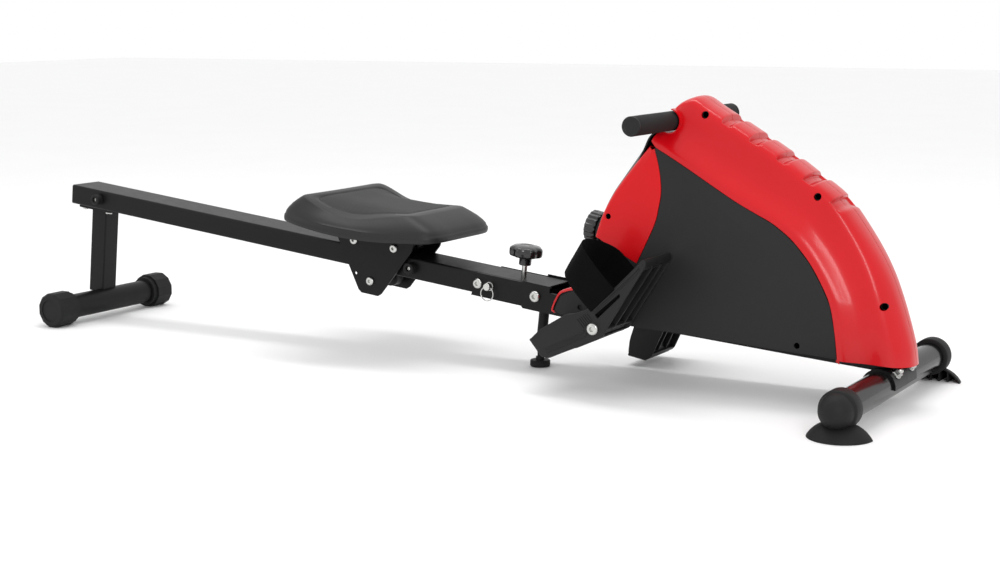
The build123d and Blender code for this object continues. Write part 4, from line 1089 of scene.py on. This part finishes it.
    def band(self, name: str, route: list[tuple[float, float, float, float]], width: float,
             thickness: float) -> bpy.types.Object:
        """Makes a flat band along a route.

        Args:
            name: The piece's name.
            route: Middle of the band as u, y and w, and how far its w leans over its width.
            width: The band's width in millimetres.
            thickness: The band's thickness in millimetres.

        Returns:
            The band, mapped in millimetres along and across.
        """
        line = catmull(route, 8)
        rows = []
        lengths = [0.0]
        steps = 12
        for count, (u, y, w, lean) in enumerate(line):
            out = beside(line, count, first=1)
            if count:
                last = line[count - 1]
                lengths.append(lengths[-1] + hypot(u - last[0], y - last[1], w - last[2]))
            row = []
            for layer in (1, -1):
                order = range(steps + 1) if layer > 0 else range(steps, -1, -1)
                for k in order:
                    share = k / steps - 0.5
                    swell = thickness / 2 * layer * (1 - 0.35 * (2 * abs(share)) ** 8)
                    ripple = 0.25 * sin(lengths[-1] / 9.0 + 5 * share)
                    away = swell + ripple
                    row.append(self.place(u + share * width, y - out[0] * away, w - out[1] * away + lean * share * 2))
            rows.append(row)
        band = grid(name, rows, closed=True, caps=True, crease=50)
        mapping = band.data.uv_layers.new(name="UVMap")
        count_across = len(rows[0])
        for polygon in band.data.polygons:
            for loop in polygon.loop_indices:
                index = band.data.loops[loop].vertex_index
                r, c = divmod(index, count_across)
                k = c if c <= steps else 2 * steps + 1 - c
                mapping.data[loop].uv = (lengths[min(r, len(lengths) - 1)], k / steps * width)
        return band

    def build(self, wardrobe: Wardrobe) -> None:
        """Builds the pedal and its strap and hands them in."""
        label = Side.label(self.side)
        wardrobe.hand_in(self.body(), Coat.PLASTIC, f"pedal_{label}", "black_plastic", f"pedal_{label}")
        wardrobe.hand_in(self.strap(), Coat.WEBBING, f"pedal_{label}", "webbing", f"foot_strap_{label}")


# ---------------------------------------------------------------- handle, dial and knob
@dataclass
class Handle:
    """The pull handle: foam grips on a steel tube, a middle sleeve and end caps."""

    x: float = HANDLE_REST[0]
    z: float = HANDLE_REST[1]
    radius: float = 16.5

    def grip(self, side: int) -> bpy.types.Object:
        """Builds one foam grip."""
        place = axis_frame(at(self.x, 0, self.z), Vector((0, side, 0)))
        r = self.radius
        profile = [(11.2, 31), (r - 1.6, 31), (r - 0.4, 31.6), (r, 33), (r, 110), (r + 0.15, 150), (r, 192),
                   (r - 0.5, 196.6), (r - 2, 197.4), (11.2, 197.4)]
        return lathe(f"grip_{Side.label(side)}", profile, place, 96)

    def cap(self, side: int) -> bpy.types.Object:
        """Builds one end cap with a shallow dished face."""
        place = axis_frame(at(self.x, 0, self.z), Vector((0, side, 0)))
        r = self.radius
        profile = [(9, 186), (9, 197), (r - 0.6, 197.6), (r + 0.1, 198.4), (r + 0.1, 200.6), (r - 0.6, 202.2),
                   (r - 2.2, 203), (r - 5.5, 203), (r - 6.6, 202.2), (0.1, 201.6)]
        return lathe(f"grip_cap_{Side.label(side)}", profile, place, 96)

    def sleeve(self) -> bpy.types.Object:
        """Builds the middle sleeve with its two raised rims."""
        place = axis_frame(at(self.x, 0, self.z), Vector((0, 1, 0)))
        half = [(11.2, 30.6), (15.2, 30.6), (16.2, 29.6), (16.2, 25), (15.2, 24), (14.4, 22)]
        profile = [(r, -h) for r, h in half] + [(r, h) for r, h in reversed(half)]
        return lathe("grip_sleeve", profile, place, 96)

    def build(self, wardrobe: Wardrobe) -> None:
        """Builds the handle's pieces and hands them in."""
        for side in Side.signs():
            wardrobe.hand_in(self.grip(side), Coat.FOAM, "handle", "foam_black", "handle_grips")
            wardrobe.hand_in(self.cap(side), Coat.PLASTIC, "handle", "foam_black", "handle_grips")
        wardrobe.hand_in(self.sleeve(), Coat.PLASTIC, "handle", "foam_black", "handle_grips")


def fluted(name: str, profile: list[tuple[float, float, float]], place: Matrix, flutes: int, sharp: float,
           steps: int = 12) -> bpy.types.Object:
    """Turns a knob whose rim is fluted or lobed.

    Args:
        name: The piece's name.
        profile: Radius, height and flute depth of each ring, in millimetres.
        place: Where the knob sits.
        flutes: How many flutes run round it.
        sharp: Above 1 for narrow flutes, below 1 for narrow lobes.
        steps: Samples for each flute.

    Returns:
        The knob.
    """
    rows = []
    count = flutes * steps
    for radius, height, depth in profile:
        ring = []
        for k in range(count):
            a = 2 * pi * k / count
            dip = (0.5 + 0.5 * cos(flutes * a)) ** sharp
            r = radius - depth * dip
            ring.append(place @ (Vector((r * cos(a), r * sin(a), height)) * MILLIMETRE))
        rows.append(ring)
    return grid(name, rows, closed=True, caps=True, crease=38)


def tension_dial() -> bpy.types.Object:
    """Builds the fluted tension dial with its domed cap and pointer ridge."""
    tilt = radians(12)
    face = at(1222, 0, 267)
    place = axis_frame(face, Vector((-cos(tilt), 0, sin(tilt))), Vector((0, 1, 0)))
    profile = [(8, -22, 0), (25, -22, 0), (26.5, -21.2, 0.2), (27.3, -19.5, 0.6), (29, -16, 2.4), (29, -4, 2.6),
               (28.4, -1.6, 2.2), (26.4, -0.2, 1.2), (22, 0, 0), (20.6, -0.2, 0), (19.8, -1.4, 0), (18, -1.6, 0),
               (12, -0.9, 0), (0.2, -0.6, 0)]
    knob = fluted("tension_dial_knob", profile, place, 18, 1.6)
    foot = [(-1.6, 4), (1.6, 4), (1.2, 17), (-1.2, 17)]
    crest = [(-1.2, 4.4), (1.2, 4.4), (0.9, 16.6), (-0.9, 16.6)]
    ridge = [[place @ (Vector((x, y, height)) * MILLIMETRE) for x, y in rounded(corners, 1)]
             for corners, height in ((foot, -1.4), (crest, 0.3))]
    return merge("tension_dial_knob", [knob, grid("ridge", ridge, closed=True, caps=True)])


def clamp_knob() -> bpy.types.Object:
    """Builds the lobed clamp knob on its round hub."""
    foot = on_rail(1090.6, 0, 22)
    place = axis_frame(foot, on_rail(1090.6, 0, 60) - foot, Vector((0, 1, 0)))
    profile = [(5.2, 0, 0), (10.4, 0, 0), (11.5, 1, 0), (11.5, 13, 0), (13, 15, 0), (22, 16, 1), (28, 16.6, 2.2),
               (30, 18, 2.8), (31, 21, 3.2), (31, 29, 3.2), (29.6, 32.4, 2.8), (26.6, 34.4, 1.8), (20, 36, 0.6),
               (13, 37, 0.2), (12, 36.4, 0), (0.2, 36.6, 0)]
    return fluted("clamp_knob_head", profile, place, 7, 1.3, 16)


@dataclass
class FrontCap:
    """A domed end cap on a flared fan foot."""

    side: int
    x: float = FRONT_TUBE_STATION
    z: float = 44.0

    def build(self) -> bpy.types.Object:
        """Builds the cap with its foot and ribs."""
        place = axis_frame(at(self.x, 0, self.z), Vector((0, self.side, 0)))
        profile = [(25.2, 217), (30.5, 217), (31.6, 217.8), (32, 219), (32, 241), (31.5, 243.4), (30.3, 245.2),
                   (28.7, 246.2)]
        for degrees in range(6, 90, 7):
            a = radians(degrees)
            profile.append((28.4 * cos(a), 246.4 + 31 * sin(a)))
        profile.append((0.3, 277.4))
        dome = lathe("dome", profile, place, 96)
        flare = [(22, 23.5), (29, 21), (36, 17.2), (42, 12.8), (47, 7.8), (50.6, 3), (51.9, 0.6), (52.0, 0)]
        rows = []
        for radius, z in flare:
            row = []
            for k in range(37):
                a = pi * k / 36
                row.append(at(self.x - radius * cos(a), self.side * (228 + radius * sin(a)), z))
            rows.append(row)
        fan = grid("fan", rows)
        thicken(fan, 2.6)
        parts = [dome, fan]
        for k in (-2, -1, 0, 1, 2):
            x = self.x + 15 * k
            rib = [(228, 0.4)]
            for radius, z in ((48.6, 0.4), (45, 6), (39.5, 11), (33, 15), (25, 18.5)):
                inside = radius ** 2 - (15 * k) ** 2
                rib.append((228 + max(inside, 1) ** 0.5, z))
            rib.append((228, 18.5))
            low = [at(x - 1.3, self.side * y, z) for y, z in rib]
            high = [at(x + 1.3, self.side * y, z) for y, z in rib]
            parts.append(slab("rib", low, high, 0.4))
        return merge(f"front_cap_moulding_{Side.label(self.side)}", parts)


# ---------------------------------------------------------------- frame finishes
NODE_COATS: dict[Coat, tuple[str, ...]] = {
    Coat.POWDER: ("rail", "post_plate", "rear_post", "rear_tube", "fork_channel", "fork_bracket", "base_beam",
                  "front_saddle", "middle_leg", "carriage_plate_right", "carriage_plate_left", "carriage_top"),
    Coat.GLOSS: ("front_tube",),
    Coat.ZINC: ("rail_screws", "seat_screws", "roller_axles", "pivot_bolt", "fork_screws", "clamp_rod", "lock_pin",
                "pin_ring", "saddle_bolts", "pedal_axle", "handle_tube"),
    Coat.STEEL: ("drive_plates", "drive_axles", "magnet_arm", "flywheel"),
    Coat.PLASTIC: ("rail_end_plug", "roller_front", "roller_rear", "roller_low", "rail_bushing",
                   "dial_boss", "spool_pulley", "strap_drum", "spring_case"),
    Coat.RUBBER: ("rear_cap_right", "rear_cap_left", "rail_stops", "drive_belt", "strap_roll", "level_foot"),
}


# ---------------------------------------------------------------- studio
@dataclass
class Studio:
    """The camera, the floor and the soft lights."""

    eye: tuple[float, float, float] = (2642.1, -2672.7, 655.9)
    yaw: float = radians(31.05)
    pitch: float = radians(9.21)
    roll: float = radians(-0.35)
    lens: float = 61.6

    def camera(self) -> None:
        """Sets up the camera."""
        ahead = Vector((-sin(self.yaw) * cos(self.pitch), cos(self.yaw) * cos(self.pitch), -sin(self.pitch)))
        right = Vector((cos(self.yaw), sin(self.yaw), 0))
        up = right.cross(ahead)
        turned_right = right * cos(self.roll) + up * sin(self.roll)
        turned_up = up * cos(self.roll) - right * sin(self.roll)
        data = bpy.data.cameras.new("camera")
        data.sensor_width = 36
        data.lens = self.lens
        data.clip_end = 60
        camera = bpy.data.objects.new("camera", data)
        camera.matrix_world = (Matrix.Translation(at(*self.eye))
                               @ Matrix((turned_right, turned_up, -ahead)).transposed().to_4x4())
        bpy.context.scene.collection.objects.link(camera)
        bpy.context.scene.camera = camera

    def light(self, name: str, place: Vector, aim: Vector, size: Pair, power: float) -> None:
        """Adds one soft rectangular light."""
        data = bpy.data.lights.new(name, "AREA")
        data.shape = "RECTANGLE"
        data.size, data.size_y = size
        data.energy = power
        light = bpy.data.objects.new(name, data)
        light.location = place
        light.rotation_euler = (aim - place).to_track_quat("-Z", "Y").to_euler()
        bpy.context.scene.collection.objects.link(light)

    def build(self) -> None:
        """Sets up floor, world and lights."""
        self.camera()
        bpy.context.scene.view_settings.view_transform = "Standard"
        floor = grid("floor", [[Vector((x, y, -0.0005)) for x in (-14, 14)] for y in (-14, 14)])
        paint = Finish("pale_floor")
        paint.set(base_color=paint.mix(paint.noise(3.0), (0.92, 0.92, 0.92), (0.95, 0.95, 0.95)), roughness=0.7)
        floor.data.materials.append(paint.material)
        world = bpy.data.worlds.new("studio")
        world.use_nodes = True
        world.node_tree.nodes["Background"].inputs[0].default_value = (1.0, 1.0, 1.0, 1.0)
        world.node_tree.nodes["Background"].inputs[1].default_value = 1.0
        bpy.context.scene.world = world
        self.light("overhead", Vector((0.0, 0.3, 2.8)), Vector((0, 0, 0.2)), (2.4, 0.5), 26)
        self.light("right_front", Vector((2.6, -2.2, 1.6)), Vector((0.5, 0, 0.25)), (0.5, 1.6), 24)
        self.light("left_front", Vector((-2.2, -2.6, 1.8)), Vector((-0.2, 0, 0.2)), (1.0, 1.4), 8)


def build_housing(wardrobe: Wardrobe) -> None:
    """Builds both halves of the housing and hands them in."""
    crown = Housing()
    sides = HousingSides()
    for side in Side.signs():
        label = Side.label(side)
        wardrobe.hand_in(crown.crown_shell(side), Coat.RED, "base", "red_shell", f"housing_shell_{label}")
        wardrobe.hand_in(sides.panel(side), Coat.CHARCOAL, "base", "black_plastic", f"side_panel_{label}")
        wardrobe.hand_in(sides.leaf(side), Coat.LEAF, "base", "red_shell", f"housing_shell_{label}")
        wardrobe.hand_in(sides.tail_edge(side), Coat.RED, "base", "red_shell", f"housing_shell_{label}")
        wardrobe.hand_in(sides.belly(side), Coat.CHARCOAL, "base", "black_plastic", f"housing_shell_{label}")
        for count, (x, z, face) in enumerate((*CROWN_WELLS, *PANEL_WELLS, LEAF_WELL)):
            well = sides.well(f"screw_well_{label}_{count + 1}", x, z, face, side)
            wardrobe.hand_in(well, Coat.PLASTIC, "base", "black_plastic", "housing_screws")
    wardrobe.hand_in(sides.rear_cover(), Coat.PLASTIC, "base", "black_plastic", "rear_cover")
    wardrobe.hand_in(sides.cradle(), Coat.RED, "base", "red_shell", "housing_shell_right")
    wardrobe.hand_in(sides.tail(), Coat.CHARCOAL, "base", "black_plastic", "housing_shell_right")


def main() -> None:
    """Builds the machine's looks in order."""
    logging.basicConfig(level=logging.INFO)
    wardrobe = Wardrobe()
    Studio().build()
    for coat, nodes in NODE_COATS.items():
        for node in nodes:
            wardrobe.dress_node(node, coat)
    build_housing(wardrobe)
    Seat().dress(wardrobe)
    Pedal(side=Side.RIGHT.value, pitch=42.0).build(wardrobe)
    Pedal(side=Side.LEFT.value, pitch=82.0).build(wardrobe)
    Handle().build(wardrobe)
    wardrobe.hand_in(tension_dial(), Coat.KNOB, "tension_dial", "black_plastic", "tension_dial")
    wardrobe.hand_in(clamp_knob(), Coat.KNOB, "clamp_knob", "black_plastic", "clamp_knob")
    for side in Side.signs():
        cap = FrontCap(side).build()
        wardrobe.hand_in(cap, Coat.RUBBER, "base", "black_plastic", f"front_cap_{Side.label(side)}")
    LOG.info("all pieces built")


if __name__ == "__main__":
    main()
